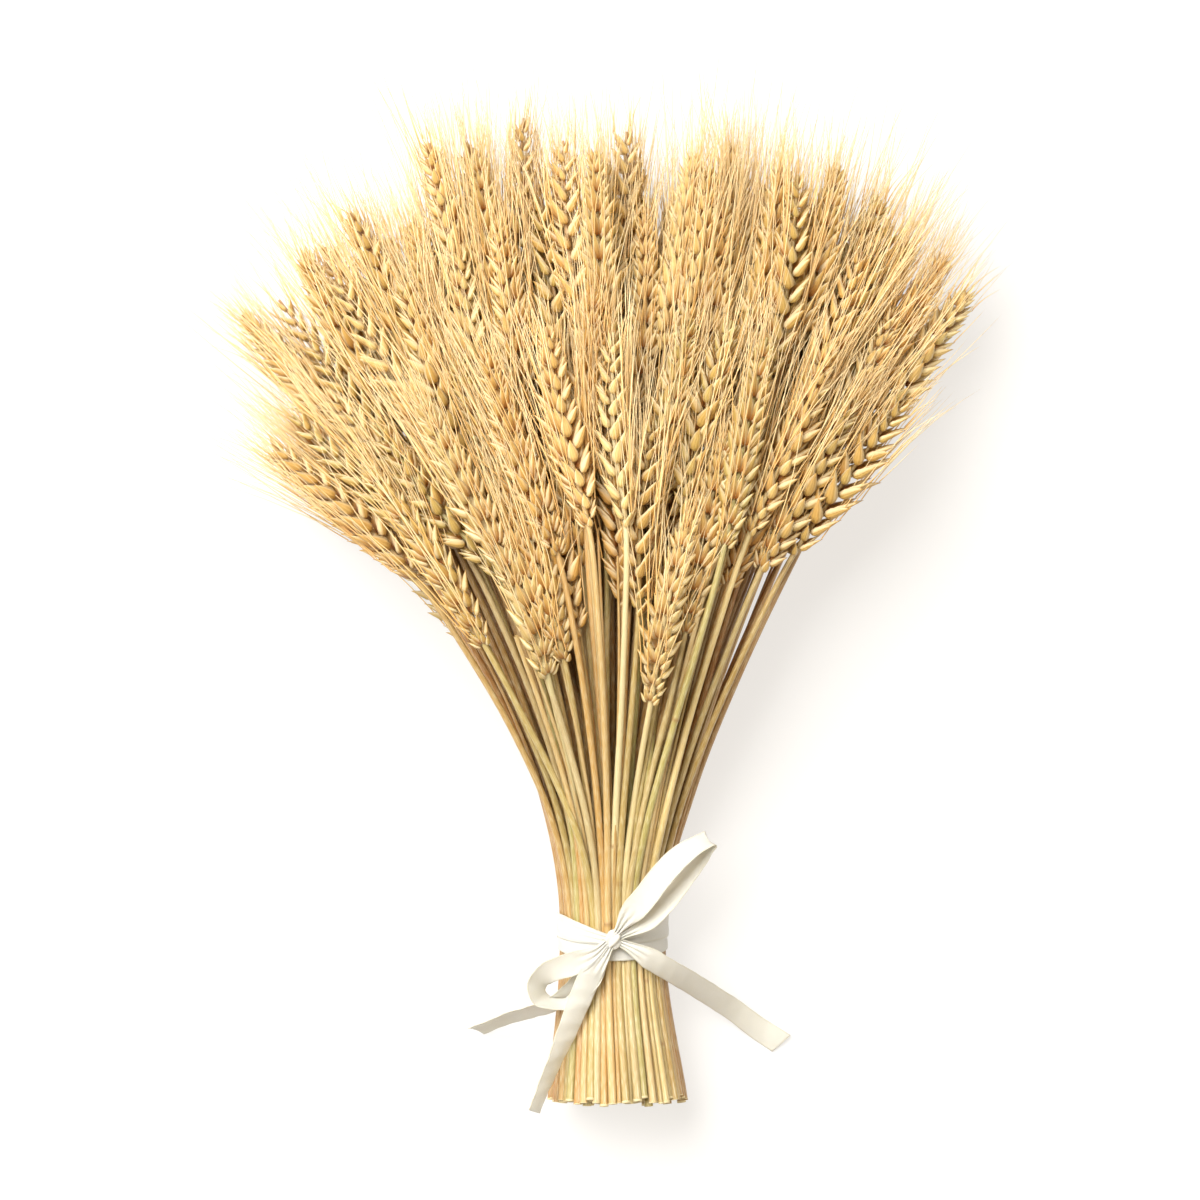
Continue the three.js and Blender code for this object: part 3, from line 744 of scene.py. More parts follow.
# %% [markdown]
# ## Materials of the wheat
#
# Dry straw is not one colour. Each stalk has its own tone, from pale cream to a warm orange, some have
# kept a little green, fine streaks run along them, and a joint is a thin brown ring. The tree of nodes
# below takes that from values that the mesh carries: "tint" and "green" are the stalk's own tone,
# "deep" is painted shade that darkens and warms the middle of the bunch, where shade falls
# between the stalks, and "around" and "run" say where on the straw a point is. Noise that is stretched
# along the straw makes the streaks.


# %% Colour helpers
def linear(text):
    """A colour such as "c9a55f" as the linear red, green, blue and alpha that Blender works in."""
    parts = [int(text[i : i + 2], 16) / 255 for i in (0, 2, 4)]
    return (*[v / 12.92 if v < 0.04045 else ((v + 0.055) / 1.055) ** 2.4 for v in parts], 1.0)


def start_material(name):
    material = bpy.data.materials.new(name)
    material.use_nodes = True
    tree = material.node_tree
    return material, tree, tree.nodes["Principled BSDF"]


def carried(tree, name, output="Fac"):
    """Reads a value that the mesh carries."""
    return put(tree, "ShaderNodeAttribute", attribute_name=name).node.outputs[output]


def part_of(tree, vector, axis):
    """One of the three numbers of a direction or place."""
    return put(tree, "ShaderNodeSeparateXYZ", vector).node.outputs[axis]


def blend(tree, share, one, other):
    return put(tree, "ShaderNodeMix", share, one, other, data_type="RGBA")


def spread(tree, value, low, high, to_low=0.0, to_high=1.0):
    return put(tree, "ShaderNodeMapRange", value, low, high, to_low, to_high)


def stretched_noise(tree, where, stretch, scale, detail=3.0):
    """Noise whose grains are longer along one direction."""
    grains = put(tree, "ShaderNodeVectorMath", where, stretch, operation="MULTIPLY")
    return put(tree, "ShaderNodeTexNoise", grains, None, scale, detail, noise_dimensions="3D")


# %% Dry straw
straw, tree, shader = start_material("dry_straw")
around = carried(tree, "around", "Vector")
run = carried(tree, "run")
along_straw = put(tree, "ShaderNodeCombineXYZ", 0.0, 0.0, run)
place = put(tree, "ShaderNodeVectorMath", around, along_straw, operation="ADD")
tint = carried(tree, "tint")
tone = blend(tree, spread(tree, tint, 0.0, 0.6), linear("e0d6a8"), linear("dcc283"))
tone = blend(tree, spread(tree, tint, 0.6, 1.0), tone, linear("d09552"))
tone = blend(tree, carried(tree, "green"), tone, linear("9f9a55"))
# painted shade: a darker, warmer brown on the middle rows and the filling straws, where shade falls
# inside the bunch
tone = blend(tree, calculate(tree, "MULTIPLY", carried(tree, "deep"), 0.8), tone, linear("955a22"))
streaks = stretched_noise(tree, place, (3.0, 3.0, 25.0), 1.6)
tone = blend(tree, spread(tree, streaks, 0.42, 0.75, 0.0, 0.6), tone, linear("bd8644"))
patches = stretched_noise(tree, place, (0.6, 0.6, 30.0), 1.0, 2.0)
tone = blend(tree, spread(tree, patches, 0.45, 0.75, 0.0, 0.5), tone, linear("e8dfb8"))
joint = carried(tree, "joint")
tone = blend(tree, calculate(tree, "MULTIPLY", joint, 0.7), tone, linear("93683a"))
tree.links.new(tone, shader.inputs["Base Color"])
gloss = spread(tree, streaks, 0.3, 0.7, 0.28, 0.42)
tree.links.new(gloss, shader.inputs["Roughness"])
shader.inputs["Specular IOR Level"].default_value = 0.6
bump = put(tree, "ShaderNodeBump", named={"Strength": 0.35, "Distance": 0.0004, "Height": streaks})
tree.links.new(bump, shader.inputs["Normal"])

# %% [markdown]
# The scales of an ear are drier and rounder than the straw. Thin veins run from base to tip, the thin
# edges are paler and the point browner, and no two scales have quite the same tone. A few ears are dull
# and greenish. Painted shade darkens the lower part of the inner scales, where the husks cover it, and
# the ears of the middle rows towards the tie. The hollow end of a straw and the awns get their own
# simple variants, and the inside of an open hollow is painted shade.

# %% Scales, awns and straw ends
chaff, tree, shader = start_material("dry_chaff")
skin = carried(tree, "skin", "Vector")
across = part_of(tree, skin, "X")
upward = part_of(tree, skin, "Y")
tint = carried(tree, "tint")
shade = carried(tree, "shade")
tone = blend(tree, tint, linear("f8e6a0"), linear("efc06c"))
tone = blend(tree, carried(tree, "green"), tone, linear("bfae62"))
# painted shade: a darker, warmer brown on the ears of the middle rows towards the tie
tone = blend(tree, calculate(tree, "MULTIPLY", carried(tree, "deep"), 0.7), tone, linear("a8662a"))
tone = blend(tree, spread(tree, shade, 0.0, 1.0, 0.0, 0.4), tone, linear("d99f48"))
tone = blend(tree, spread(tree, upward, 0.6, 1.0, 0.0, 0.4), tone, linear("dba85c"))
# painted shade: the lower part of the inner scales, which the husks cover, is drawn dark brown
painted_hidden_shade = calculate(tree, "MULTIPLY", carried(tree, "inner"), spread(tree, upward, 0.65, 0.1))
tone = blend(tree, painted_hidden_shade, tone, linear("a45c18"))
from_keel = calculate(tree, "ABSOLUTE", across)
tone = blend(tree, spread(tree, from_keel, 0.5, 1.0, 0.0, 0.75), tone, linear("fdf3cc"))
veins = calculate(tree, "SINE", calculate(tree, "MULTIPLY", across, 14.0))
freckles = stretched_noise(tree, skin, (6.0, 2.0, 1.0), 4.0)
ridges = calculate(tree, "MULTIPLY_ADD", veins, 0.5, freckles)
tone = blend(tree, spread(tree, ridges, 0.2, 1.1, 0.3, 0.0), tone, linear("b07a34"))
tree.links.new(tone, shader.inputs["Base Color"])
shader.inputs["Roughness"].default_value = 0.38
shader.inputs["Specular IOR Level"].default_value = 0.6
bump = put(tree, "ShaderNodeBump", named={"Strength": 0.5, "Distance": 0.0003, "Height": ridges})
tree.links.new(bump, shader.inputs["Normal"])

bristle, tree, shader = start_material("dry_bristle")
upward = part_of(tree, carried(tree, "skin", "Vector"), "Y")
tone = blend(tree, carried(tree, "shade"), linear("fae4ac"), linear("efc274"))
tone = blend(tree, spread(tree, upward, 0.0, 0.3, 0.45, 0.0), tone, linear("cf8a30"))
tone = blend(tree, spread(tree, upward, 0.3, 0.6, 0.0, 0.4), tone, linear("fff0cc"))
tone = blend(tree, spread(tree, upward, 0.75, 1.0, 0.0, 0.6), tone, linear("b8924e"))
tree.links.new(tone, shader.inputs["Base Color"])
shader.inputs["Roughness"].default_value = 0.42

cut_straw, tree, shader = start_material("cut_straw")
depth = part_of(tree, carried(tree, "skin", "Vector"), "Z")
# painted shade: the inside of an open hollow is drawn dark brown, as the shade in it; a shallow hollow
# filled with pith stays paler
hollow = calculate(tree, "MULTIPLY", spread(tree, depth, 0.5, 0.75), carried(tree, "hollow"))
tone = blend(tree, hollow, linear("e3d3a6"), linear("4a3418"))
tree.links.new(tone, shader.inputs["Base Color"])
shader.inputs["Roughness"].default_value = 0.8
print("wheat materials:", [m.name for m in (straw, chaff, bristle, cut_straw)])

# %% [markdown]
# ## The tree that grows a stalk
#
# A wheat ear repeats one pattern some twenty times: a spikelet, left and right by turns, with a fan of
# scales and an awn on most of the inner ones. Placing thirteen thousand scales by hand would be
# hopeless, and copying one finished ear would show at once, so Geometry Nodes place them with a little
# chance in each.
#
# The guide is a mesh with two kinds of points. The line of a stem becomes a round straw, and every
# loose point is a spikelet that knows which way the ear runs ("along"), which way is outward ("side"),
# and which way is across both ("face").

# %% Start the tree with its inputs
stalk_tree, given = start_tree(
    "wheat_stalk",
    {
        "Straw sides": ("Int", 10),
        "Straw end": ("Object", straw_end),
        "Scale": ("Object", scale_shape),
        "Scales": ("Int", 6),
        "Scale length": ("Float", 0.0134),
        "Lean": ("Float", 0.5),
        "Fan": ("Float", 0.58),
        "Fan width": ("Float", 0.0031),
        "Rise": ("Float", 0.0030),
        "Awn": ("Object", awn_shape),
        "Awn radius": ("Float", 0.00029),
        "Awn bend": ("Float", 0.18),
        "Floor": ("Float", 0.0003),
        "Ceiling": ("Float", 0.106),
        "Seed": ("Int", 1),
    },
)

# %% Grow the straw along the stem line
tree = stalk_tree
line = put(tree, "GeometryNodeMeshToCurve", given["Guide"])
circle = put(tree, "GeometryNodeCurvePrimitiveCircle", given["Straw sides"])
circle = put(
    tree,
    "GeometryNodeStoreNamedAttribute",
    circle,
    None,
    "around",
    put(tree, "GeometryNodeInputPosition"),
    data_type="FLOAT_VECTOR",
)
straws = put(tree, "GeometryNodeCurveToMesh", line, circle, stored(tree, "radius"))
straws = put(tree, "GeometryNodeSetMaterial", straws, None, straw)

is_end = stored(tree, "is_end")
end_along, end_face = (stored(tree, name, "FLOAT_VECTOR") for name in ("along", "face"))
end_turn = turned(tree, end_along, end_face)
end_radius = stored(tree, "radius")
end_depth = calculate(tree, "MULTIPLY", end_radius, stored(tree, "hollow"))
end_size = put(tree, "ShaderNodeCombineXYZ", end_radius, end_depth, end_radius)
ends = copies_of(tree, given["Straw end"], given["Guide"], is_end, end_turn, end_size)
ends = put(tree, "GeometryNodeRealizeInstances", ends)
ends = put(tree, "GeometryNodeSetMaterial", ends, None, cut_straw)

# %% [markdown]
# Each spikelet point is copied once for every scale of its fan. The copy's number becomes a place in the
# fan, from -1 at one edge to +1 at the other. The outer two are the husks: they start low, lie close and
# are wide and short. The inner ones start higher and stand further out, the middle two most of all.

# %% Fan out the scales
LEAN_RANGE, TILT_RANGE = (0.75, 1.25), (-0.07, 0.07)
HUSK_TURNED = -0.45
STAND_OUT, INNER_STAND_OUT = 0.0007, 0.0012
LENGTH_RANGE, HUSK_SHORTER = (0.88, 1.1), -0.22
WIDTH, HUSK_WIDER = 0.9, 0.5
seed = given["Seed"]
copies = put(
    tree,
    "GeometryNodeDuplicateElements",
    given["Guide"],
    stored(tree, "is_spikelet"),
    given["Scales"],
    domain="POINT",
)
number = copies.node.outputs["Duplicate Index"]
last = calculate(tree, "SUBTRACT", given["Scales"], 1.0)
fan = spread(tree, number, 0.0, last, -1.0, 1.0)
outer = calculate(tree, "MULTIPLY", fan, fan)
inner = calculate(tree, "SUBTRACT", 1.0, outer)
along = stored(tree, "along", "FLOAT_VECTOR")
side = stored(tree, "side", "FLOAT_VECTOR")
face = stored(tree, "face", "FLOAT_VECTOR")
taper = stored(tree, "taper")

lean = calculate(tree, "MULTIPLY", given["Lean"], chance(tree, *LEAN_RANGE, seed))
lean = calculate(tree, "MULTIPLY", lean, stored(tree, "open"))
tilt = calculate(tree, "MULTIPLY_ADD", fan, given["Fan"], chance(tree, *TILT_RANGE, seed))
heading = add_up(tree, (along, 1.0), (side, lean), (face, tilt))
heading = put(tree, "ShaderNodeVectorMath", heading, operation="NORMALIZE")
back = add_up(tree, (side, calculate(tree, "MULTIPLY_ADD", outer, HUSK_TURNED, 1.0)), (face, fan))

out = calculate(tree, "MULTIPLY_ADD", inner, INNER_STAND_OUT, STAND_OUT)
shift = add_up(
    tree,
    (side, out),
    (face, calculate(tree, "MULTIPLY", fan, given["Fan width"])),
    (along, calculate(tree, "MULTIPLY", inner, given["Rise"])),
)
shift = put(tree, "ShaderNodeVectorMath", shift, taper, operation="SCALE")
seats = put(tree, "GeometryNodeSetPosition", copies, None, None, shift)

length = calculate(tree, "MULTIPLY_ADD", outer, HUSK_SHORTER, 1.0)
length = calculate(tree, "MULTIPLY", length, chance(tree, *LENGTH_RANGE, seed))
length = calculate(tree, "MULTIPLY", length, calculate(tree, "MULTIPLY", taper, given["Scale length"]))
width = calculate(tree, "MULTIPLY_ADD", outer, HUSK_WIDER, WIDTH)
width = calculate(tree, "MULTIPLY", length, width)
scale_size = put(tree, "ShaderNodeCombineXYZ", width, length, width)
scale_turn = turned(tree, heading, back)
scales = copies_of(tree, given["Scale"], seats, None, scale_turn, scale_size)
scales = noted(tree, scales, "shade", chance(tree, 0.0, 1.0, seed))
scales = noted(tree, scales, "inner", inner)
scales = put(tree, "GeometryNodeRealizeInstances", scales)
scales = put(tree, "GeometryNodeSetMaterial", scales, None, chaff)

# %% [markdown]
# An awn starts at the tip of most inner scales and runs on past the tip of the ear. It leaves the ear
# at a small angle and bends a little. A few are broken over and cross their neighbours, as in any dry
# bunch. The bend is added after the needles are real meshes: it grows with the square of the distance
# along each needle.

# %% Grow the awns
AWN_SEEDS = (100, 200, 300)
AWN_START = 0.93
INNER_LIMIT = 0.8
BROKEN, BROKEN_SWING, BROKEN_LENGTH = 0.03, 4.0, 0.6
AWN_LEAN, AWN_ASKEW, AWN_FAN = (0.0, 0.2), (-0.13, 0.13), 0.16
AWN_UNEVEN, AWN_SHORTEST = (-0.022, 0.012), 0.015
awn_seed, awn_seed_2, awn_seed_3 = (calculate(tree, "ADD", seed, value) for value in AWN_SEEDS)
tips = put(
    tree,
    "GeometryNodeSetPosition",
    seats,
    None,
    None,
    add_up(tree, (heading, calculate(tree, "MULTIPLY", length, AWN_START))),
)
is_inner = less_than(tree, outer, INNER_LIMIT)
is_awned = less_than(tree, chance(tree, 0.0, 1.0, awn_seed_3), stored(tree, "awned"))
grows = put(tree, "FunctionNodeBooleanMath", is_inner, is_awned, operation="AND")
broken = less_than(tree, chance(tree, 0.0, 1.0, awn_seed), BROKEN)
wide = put(tree, "GeometryNodeSwitch", broken, 1.0, BROKEN_SWING, input_type="FLOAT")
aside = calculate(tree, "MULTIPLY", chance(tree, *AWN_LEAN, awn_seed), wide)
askew = calculate(tree, "MULTIPLY_ADD", fan, AWN_FAN, chance(tree, *AWN_ASKEW, awn_seed_2))
askew = calculate(tree, "MULTIPLY", askew, wide)
awn_heading = add_up(tree, (along, 1.0), (side, aside), (face, askew))
awn_turn = turned(tree, awn_heading, side)
awn_length = calculate(tree, "ADD", stored(tree, "reach"), chance(tree, *AWN_UNEVEN, awn_seed_2))
awn_length = calculate(tree, "MAXIMUM", awn_length, AWN_SHORTEST)
short = put(tree, "GeometryNodeSwitch", broken, 1.0, BROKEN_LENGTH, input_type="FLOAT")
awn_length = calculate(tree, "MULTIPLY", awn_length, short)
awn_radius = given["Awn radius"]
awn_size = put(tree, "ShaderNodeCombineXYZ", awn_radius, awn_length, awn_radius)
awns = copies_of(tree, given["Awn"], tips, grows, awn_turn, awn_size)
sideways = put(
    tree,
    "FunctionNodeRandomValue",
    (-1.0, -1.0, -1.0),
    (1.0, 1.0, 1.0),
    None,
    awn_seed,
    data_type="FLOAT_VECTOR",
)
bend = add_up(tree, (sideways, calculate(tree, "MULTIPLY", awn_length, given["Awn bend"])))
awns = noted(tree, awns, "bend", bend, "FLOAT_VECTOR")
awns = noted(tree, awns, "shade", chance(tree, 0.0, 1.0, awn_seed))
awns = put(tree, "GeometryNodeRealizeInstances", awns)
share = part_of(tree, stored(tree, "skin", "FLOAT_VECTOR"), "Y")
bent = add_up(
    tree, (stored(tree, "bend", "FLOAT_VECTOR"), calculate(tree, "MULTIPLY", share, share))
)
awns = put(tree, "GeometryNodeSetPosition", awns, None, None, bent)
awns = put(tree, "GeometryNodeSetMaterial", awns, None, bristle)

# %% [markdown]
# At the end everything is joined, and nothing may sink into the floor: points below it are raised onto
# it, which flattens the lowest scales as the weight of the bunch would. Awns that stand up from the top
# of the bunch bow down under their own weight, so heights above the ceiling count for a third.

# %% Finish the tree
BOWED_OFF = -0.67
joined = tree.nodes.new("GeometryNodeJoinGeometry")
for part in (straws, ends, scales, awns):
    tree.links.new(part, joined.inputs[0])
x, y, z = put(
    tree, "ShaderNodeSeparateXYZ", put(tree, "GeometryNodeInputPosition")
).node.outputs
over = calculate(tree, "MAXIMUM", calculate(tree, "SUBTRACT", z, given["Ceiling"]), 0.0)
bowed = calculate(tree, "MULTIPLY_ADD", over, BOWED_OFF, z)
raised = put(tree, "ShaderNodeCombineXYZ", x, y, calculate(tree, "MAXIMUM", bowed, given["Floor"]))
piece = put(tree, "GeometryNodeSetPosition", joined.outputs[0], None, raised)
piece = put(tree, "GeometryNodeSetShadeSmooth", piece)
output = tree.nodes.new("NodeGroupOutput")
tree.links.new(piece, output.inputs[0])
print("the stalk tree has", len(tree.nodes), "nodes")

# %% [markdown]
# ## The guides
#
# A stem's guide is a smooth line through the bends that the plan gives. It has a point every few
# millimetres, and extra ones at the joints of the straw, where it swells a little. The line runs on
# inside the ear as its thin spine.


# %% Draw a smooth line through the bends
def distances_along(points):
    """How far along a line of straight pieces each of its points is."""
    steps = np.linalg.norm(np.diff(points, axis=0), axis=1)
    return np.concatenate([[0.0], np.cumsum(steps)])


def smooth_line(points, spots):
    """Points on a smooth line through the given ones, at distances along their straight pieces."""
    steps = np.linalg.norm(np.diff(points, axis=0), axis=1)
    lengths = distances_along(points)
    slopes = np.gradient(points, lengths, axis=0)
    piece = np.clip(np.searchsorted(lengths, spots, side="right") - 1, 0, len(steps) - 1)
    step = steps[piece]
    share = ((spots - lengths[piece]) / step)[:, None]
    start, end = points[piece], points[piece + 1]
    lead, trail = slopes[piece] * step[:, None], slopes[piece + 1] * step[:, None]
    return (
        start * (1 + 2 * share) * (1 - share) ** 2
        + lead * share * (1 - share) ** 2
        + end * share**2 * (3 - 2 * share)
        + trail * share**2 * (share - 1)
    )


JOINT_SWELL = 0.14
JOINT_LENGTH = 0.9
JOINTED = 0.5
JOINT_PLACES = (15, 170)
AROUND_JOINT = np.array([-3, -1.4, -0.7, 0, 0.7, 1.4, 3])
BEFORE_JOINT = -3.001
STEM_STEP, LEAST_STEP = 6.0, 0.5
SPINE_RADII = (0.9, 0.5)


def stem_guide(stalk, random):
    """The points of a stem with their radius, and where its joint is. Not every stem shows one."""
    points, neck = stalk["points"], stalk["neck"]
    lengths = distances_along(points)
    joints = np.array([random.uniform(*JOINT_PLACES)])
    if random.uniform() > JOINTED:
        joints[0] = 2 * lengths[-1]
    spots = np.arange(0, lengths[-1], STEM_STEP)
    spots = np.concatenate([spots, [lengths[-1]], *[joint + AROUND_JOINT for joint in joints]])
    spots = np.unique(spots[spots <= lengths[-1]].round(3))
    is_before = (spots[:, None] - joints < BEFORE_JOINT).all(1)
    spots = spots[is_before | (np.diff(spots, append=np.inf) > LEAST_STEP)]
    swell = np.exp(-((spots[:, None] - joints) / JOINT_LENGTH) ** 2).sum(1)
    known = [*(STRAW_SHARE * np.array(stalk["radii"])), *SPINE_RADII][: len(points)]
    radius = np.interp(spots, lengths, known) * (1 + JOINT_SWELL * swell)
    return smooth_line(points, spots), radius, spots, swell


# %% [markdown]
# The ear's guide has one point for each spikelet. The ear is slim at its foot, full from a quarter on,
# and drawn in at its tip. Two directions across the ear say how it is rolled, so that some ears show
# their flat side with nested scales and others their edge with two rows of grains.


# %% Place the spikelets of an ear
SPIKELETS = 18
AWN_LIMIT_X = (-150.0, 141.0)
AWN_LIMIT_Y = 328.0
AWNS_PAST_TIP = (2, 20)
FOOT_SIZE, TIP_SIZE = 0.58, 0.42
NARROWS_FROM, NARROWING = 0.4, 1.4
CLOSER_BY, EAR_FILLED = 0.7, 0.97
PLUMP, OPENED = (0.9, 1.1), (0.85, 1.15)
UNEVEN_SIZE, UNEVEN_LEAN = (0.94, 1.06), (0.8, 1.2)
LAST_LEAN = 0.2
LOOK_AROUND = np.array([-3.0, 0.0, 3.0])


def across(direction, turn):
    """Two directions across another one. The first is level and swings by the turn."""
    level = unit(np.array([direction[1], -direction[0], 0.0]))
    up = np.cross(level, direction)
    first = level * math.cos(turn) + up * math.sin(turn)
    return first, np.cross(first, direction)


def ear_taper(share):
    """The size of a spikelet: small at the foot, full at a quarter, and small again at the tip."""
    narrowing = max(0, (share - NARROWS_FROM) / (1 - NARROWS_FROM)) ** NARROWING
    return mix(FOOT_SIZE, 1, min(1, 4 * share)) * mix(1, TIP_SIZE, narrowing)


def spikelet_shares():
    """Where the spikelets sit. Small ones sit closer together."""
    pitches = np.array([ear_taper(k / SPIKELETS) ** CLOSER_BY for k in range(SPIKELETS)])
    seats = np.concatenate([[0.0], np.cumsum(pitches)])
    return EAR_FILLED * seats[:-1] / seats[-1]


def awns_past_tip(points, random):
    """How far the awns reach past the tip of the ear, inside the limits of the bunch."""
    along = unit(points[-1] - points[-2])
    side = AWN_LIMIT_X[1] if along[0] > 0 else AWN_LIMIT_X[0]
    room_x = (side - points[-1][0]) / along[0]
    room_y = (AWN_LIMIT_Y - points[-1][1]) / along[1]
    return max(0.0, min(random.uniform(*AWNS_PAST_TIP), room_x, room_y))


def ear_guide(stalk, random):
    """Every spikelet of an ear: its place, its directions, its size and how far its awns reach."""
    points = stalk["points"]
    lengths = distances_along(points)
    foot, tip = lengths[stalk["neck"]], lengths[-1]
    past_tip = awns_past_tip(points, random)
    plump = random.uniform(*PLUMP)
    opened = random.uniform(*OPENED)
    spikelets = []
    for k, share in enumerate(spikelet_shares()):
        spots = mix(foot, tip, share) + LOOK_AROUND
        before, here, after = smooth_line(points, np.minimum(spots, tip))
        along = unit(after - before)
        side, face = across(along, stalk["roll"])
        outward = side if k % 2 == 0 else -side
        is_last = k == SPIKELETS - 1
        spikelets.append(
            {
                "position": here,
                "along": along,
                "side": outward,
                "face": face,
                "taper": ear_taper(share) * plump * random.uniform(*UNEVEN_SIZE),
                "open": LAST_LEAN if is_last else opened * random.uniform(*UNEVEN_LEAN),
                "reach": (1 - share) * (tip - foot) + past_tip,
            }
        )
    return spikelets


# %% Turn one node's stalks into a guide mesh
# how many scales carry an awn, and how strong the painted shade of the middle rows is, both by row from
# below
AWNED_ROWS, AWNED = (4, 8), (0.8, 0.62)
PAINTED_SHADE_ROWS, PAINTED_SHADE = (1, 4, 6, 8), (0.0, 1.0, 0.8, 0.0)
# the painted shade of the ears is full below 140 mm along the bunch and gone above 230 mm
PAINTED_SHADE_START, PAINTED_SHADE_END = 230.0, 140.0
# the filling straws lie inside the bunch and get at least this much painted shade
FILLING_PAINTED_SHADE = 0.35
GREENEST, GREEN_RARITY = 0.95, 1.7
BEARDED = (0.7, 1.25)
HOLLOW, PITH = 0.65, (0.1, 0.4)
VECTORS = ("along", "side", "face")
NUMBERS = (
    "radius", "run", "joint", "tint", "green", "deep", "taper", "open", "reach", "awned", "is_spikelet",
    "is_end", "hollow",
)


def guide_mesh(members):
    """A mesh with the stem lines and the spikelet points of these stalks, in metres."""
    points, edges, values = [], [], {name: [] for name in (*VECTORS, *NUMBERS)}

    def add_point(position, **own):
        points.append(np.asarray(position) * MM)
        for name in values:
            values[name].append(own.get(name, (0.0, 0.0, 1.0) if name in VECTORS else 0.0))

    for stalk in members:
        random = np.random.default_rng(stalk["number"])
        tone = {"tint": random.uniform(0, 1)}
        tone["green"] = GREENEST * random.uniform(0, 1) ** GREEN_RARITY
        tone["deep"] = float(np.interp(stalk["row"], PAINTED_SHADE_ROWS, PAINTED_SHADE))
        if stalk["node"].startswith("filling"):
            tone["deep"] = max(tone["deep"], FILLING_PAINTED_SHADE)
        bearded = random.uniform(*BEARDED)
        line, radius, run, joint = stem_guide(stalk, random)
        start = len(points)
        outward = unit(line[0] - line[1])
        hollow = 1.0 if random.uniform() < HOLLOW else random.uniform(*PITH)
        for k, position in enumerate(line):
            size = {"radius": radius[k] * MM, "run": run[k] * MM, "joint": min(1.0, joint[k])}
            add_point(position, is_end=float(k == 0), along=outward, hollow=hollow, **tone, **size)
        edges += [(k, k + 1) for k in range(start, len(points) - 1)]
        if "bare" in stalk:
            continue
        for spikelet in ear_guide(stalk, random):
            own = {name: spikelet[name] for name in ("along", "side", "face", "taper", "open")}
            reach = spikelet["reach"] * MM
            awned = float(np.interp(stalk["row"], AWNED_ROWS, AWNED)) * bearded
            # painted shade of the ears fades out away from the tie
            low = smooth_step(-spikelet["position"][1], -PAINTED_SHADE_START, -PAINTED_SHADE_END)
            own["deep"] = tone["deep"] * low
            add_point(
                spikelet["position"], is_spikelet=1.0, reach=reach, awned=awned, **{**tone, **own}
            )

    mesh = bpy.data.meshes.new("guide")
    mesh.from_pydata([tuple(point) for point in points], edges, [])
    for name, column in values.items():
        kind, key = ("FLOAT_VECTOR", "vector") if name in VECTORS else ("FLOAT", "value")
        layer = mesh.attributes.new(name, kind, "POINT")
        layer.data.foreach_set(key, np.array(column, dtype=np.float32).ravel())
    return mesh


# %% [markdown]
# ## Grow all stalks
#
# The tree runs once for every node of the solid model, on that node's guide. Its result is kept as a
# plain mesh, which then stands for the plain solid. The added stalks make one more piece for each row,
# and the bare straws one more for all. These stand for nothing in the solid model and only ride along.


# %% Grow and dress every node
def grow(name, guide, tree, **sizes):
    """Runs a tree on a guide and keeps the result as a plain mesh object."""
    holder = bpy.data.objects.new("guide", guide)
    scene.collection.objects.link(holder)
    modifier = holder.modifiers.new("grow", "NODES")
    modifier.node_group = tree
    for item in tree.interface.items_tree:
        if item.name in sizes:
            modifier[item.identifier] = sizes[item.name]
    grown = holder.evaluated_get(bpy.context.evaluated_depsgraph_get())
    mesh = bpy.data.meshes.new_from_object(grown)
    mesh.name = name
    bpy.data.objects.remove(holder)
    made = bpy.data.objects.new(name, mesh)
    scene.collection.objects.link(made)
    return made


members_of = {}
for stalk in stalks + added_stalks + filling_straws:
    members_of.setdefault(stalk["node"], []).append(stalk)

triangles, largest = 0, 0
for i, (node, members) in enumerate(sorted(members_of.items())):
    made = grow(f"{node}_wheat", guide_mesh(members), stalk_tree, Seed=i + 1)
    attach(made, "root")
    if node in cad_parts:
        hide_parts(node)
    own = sum(len(polygon.vertices) - 2 for polygon in made.data.polygons)
    triangles += own
    largest = max(largest, own)
for shape in (scale_shape, awn_shape, straw_end):
    bpy.data.objects.remove(shape)
print("stalk pieces:", len(members_of), "with", triangles, "triangles, the largest", largest)

# %% [markdown]
# ## The ribbon
#
# The ribbon is satin, ten millimetres wide and 0.3 millimetres thick. It is wound round the stems twice
# and tied in front, with two loops and three tails. Cloth this narrow and stiff is best modelled
# directly: a strip follows a smooth line, and its width turns from one given direction to the next.
# Where the knot pinches it, the strip falls into pleats, so that it keeps its full cut width.

# %% A strip of ribbon along a line
RIBBON_WIDTH = 10.0
RIBBON_THICK = 0.3
PLEATS = 3.0
PINCHED = 0.3
LANES = 18
PLEAT_DEPTH = 0.85
CUP_LEVEL = 0.4
CRINKLE_STEP, CRINKLE_LEAN, CRINKLE_SWELL = 0.55, 1.7, 0.23
SLANT_SECTIONS = 8


def strip_sections(centres, wides, pinches, cup, crinkle, slant):
    """The points across a strip, section by section. A pinched section is narrow and pleated."""
    lanes = np.linspace(-1, 1, LANES + 1)
    sections = []
    for i, (centre, wide, pinch) in enumerate(zip(centres, wides, pinches)):
        ahead = unit(centres[min(i + 1, len(centres) - 1)] - centres[max(i - 1, 0)])
        wide = unit(wide - ahead * np.dot(wide, ahead))
        thick = np.cross(wide, ahead)
        narrow = mix(1.0, PINCHED, pinch)
        pleat = PLEAT_DEPTH * pinch * np.cos(PLEATS * math.pi * lanes)
        curl = cup * (1 - pinch) * (lanes**2 - CUP_LEVEL)
        wave = crinkle * (1 - pinch) * np.sin(CRINKLE_STEP * i + CRINKLE_LEAN * lanes)
        wave = wave * math.sin(CRINKLE_SWELL * i + 1)
        across_strip = lanes[:, None] * RIBBON_WIDTH / 2 * narrow * wide
        near_end = max(0.0, 1 - (len(centres) - 1 - i) / SLANT_SECTIONS)
        skewed = (slant * near_end * lanes)[:, None] * ahead
        sections.append(centre + across_strip + skewed + (pleat + curl + wave)[:, None] * thick)
    return np.array(sections)


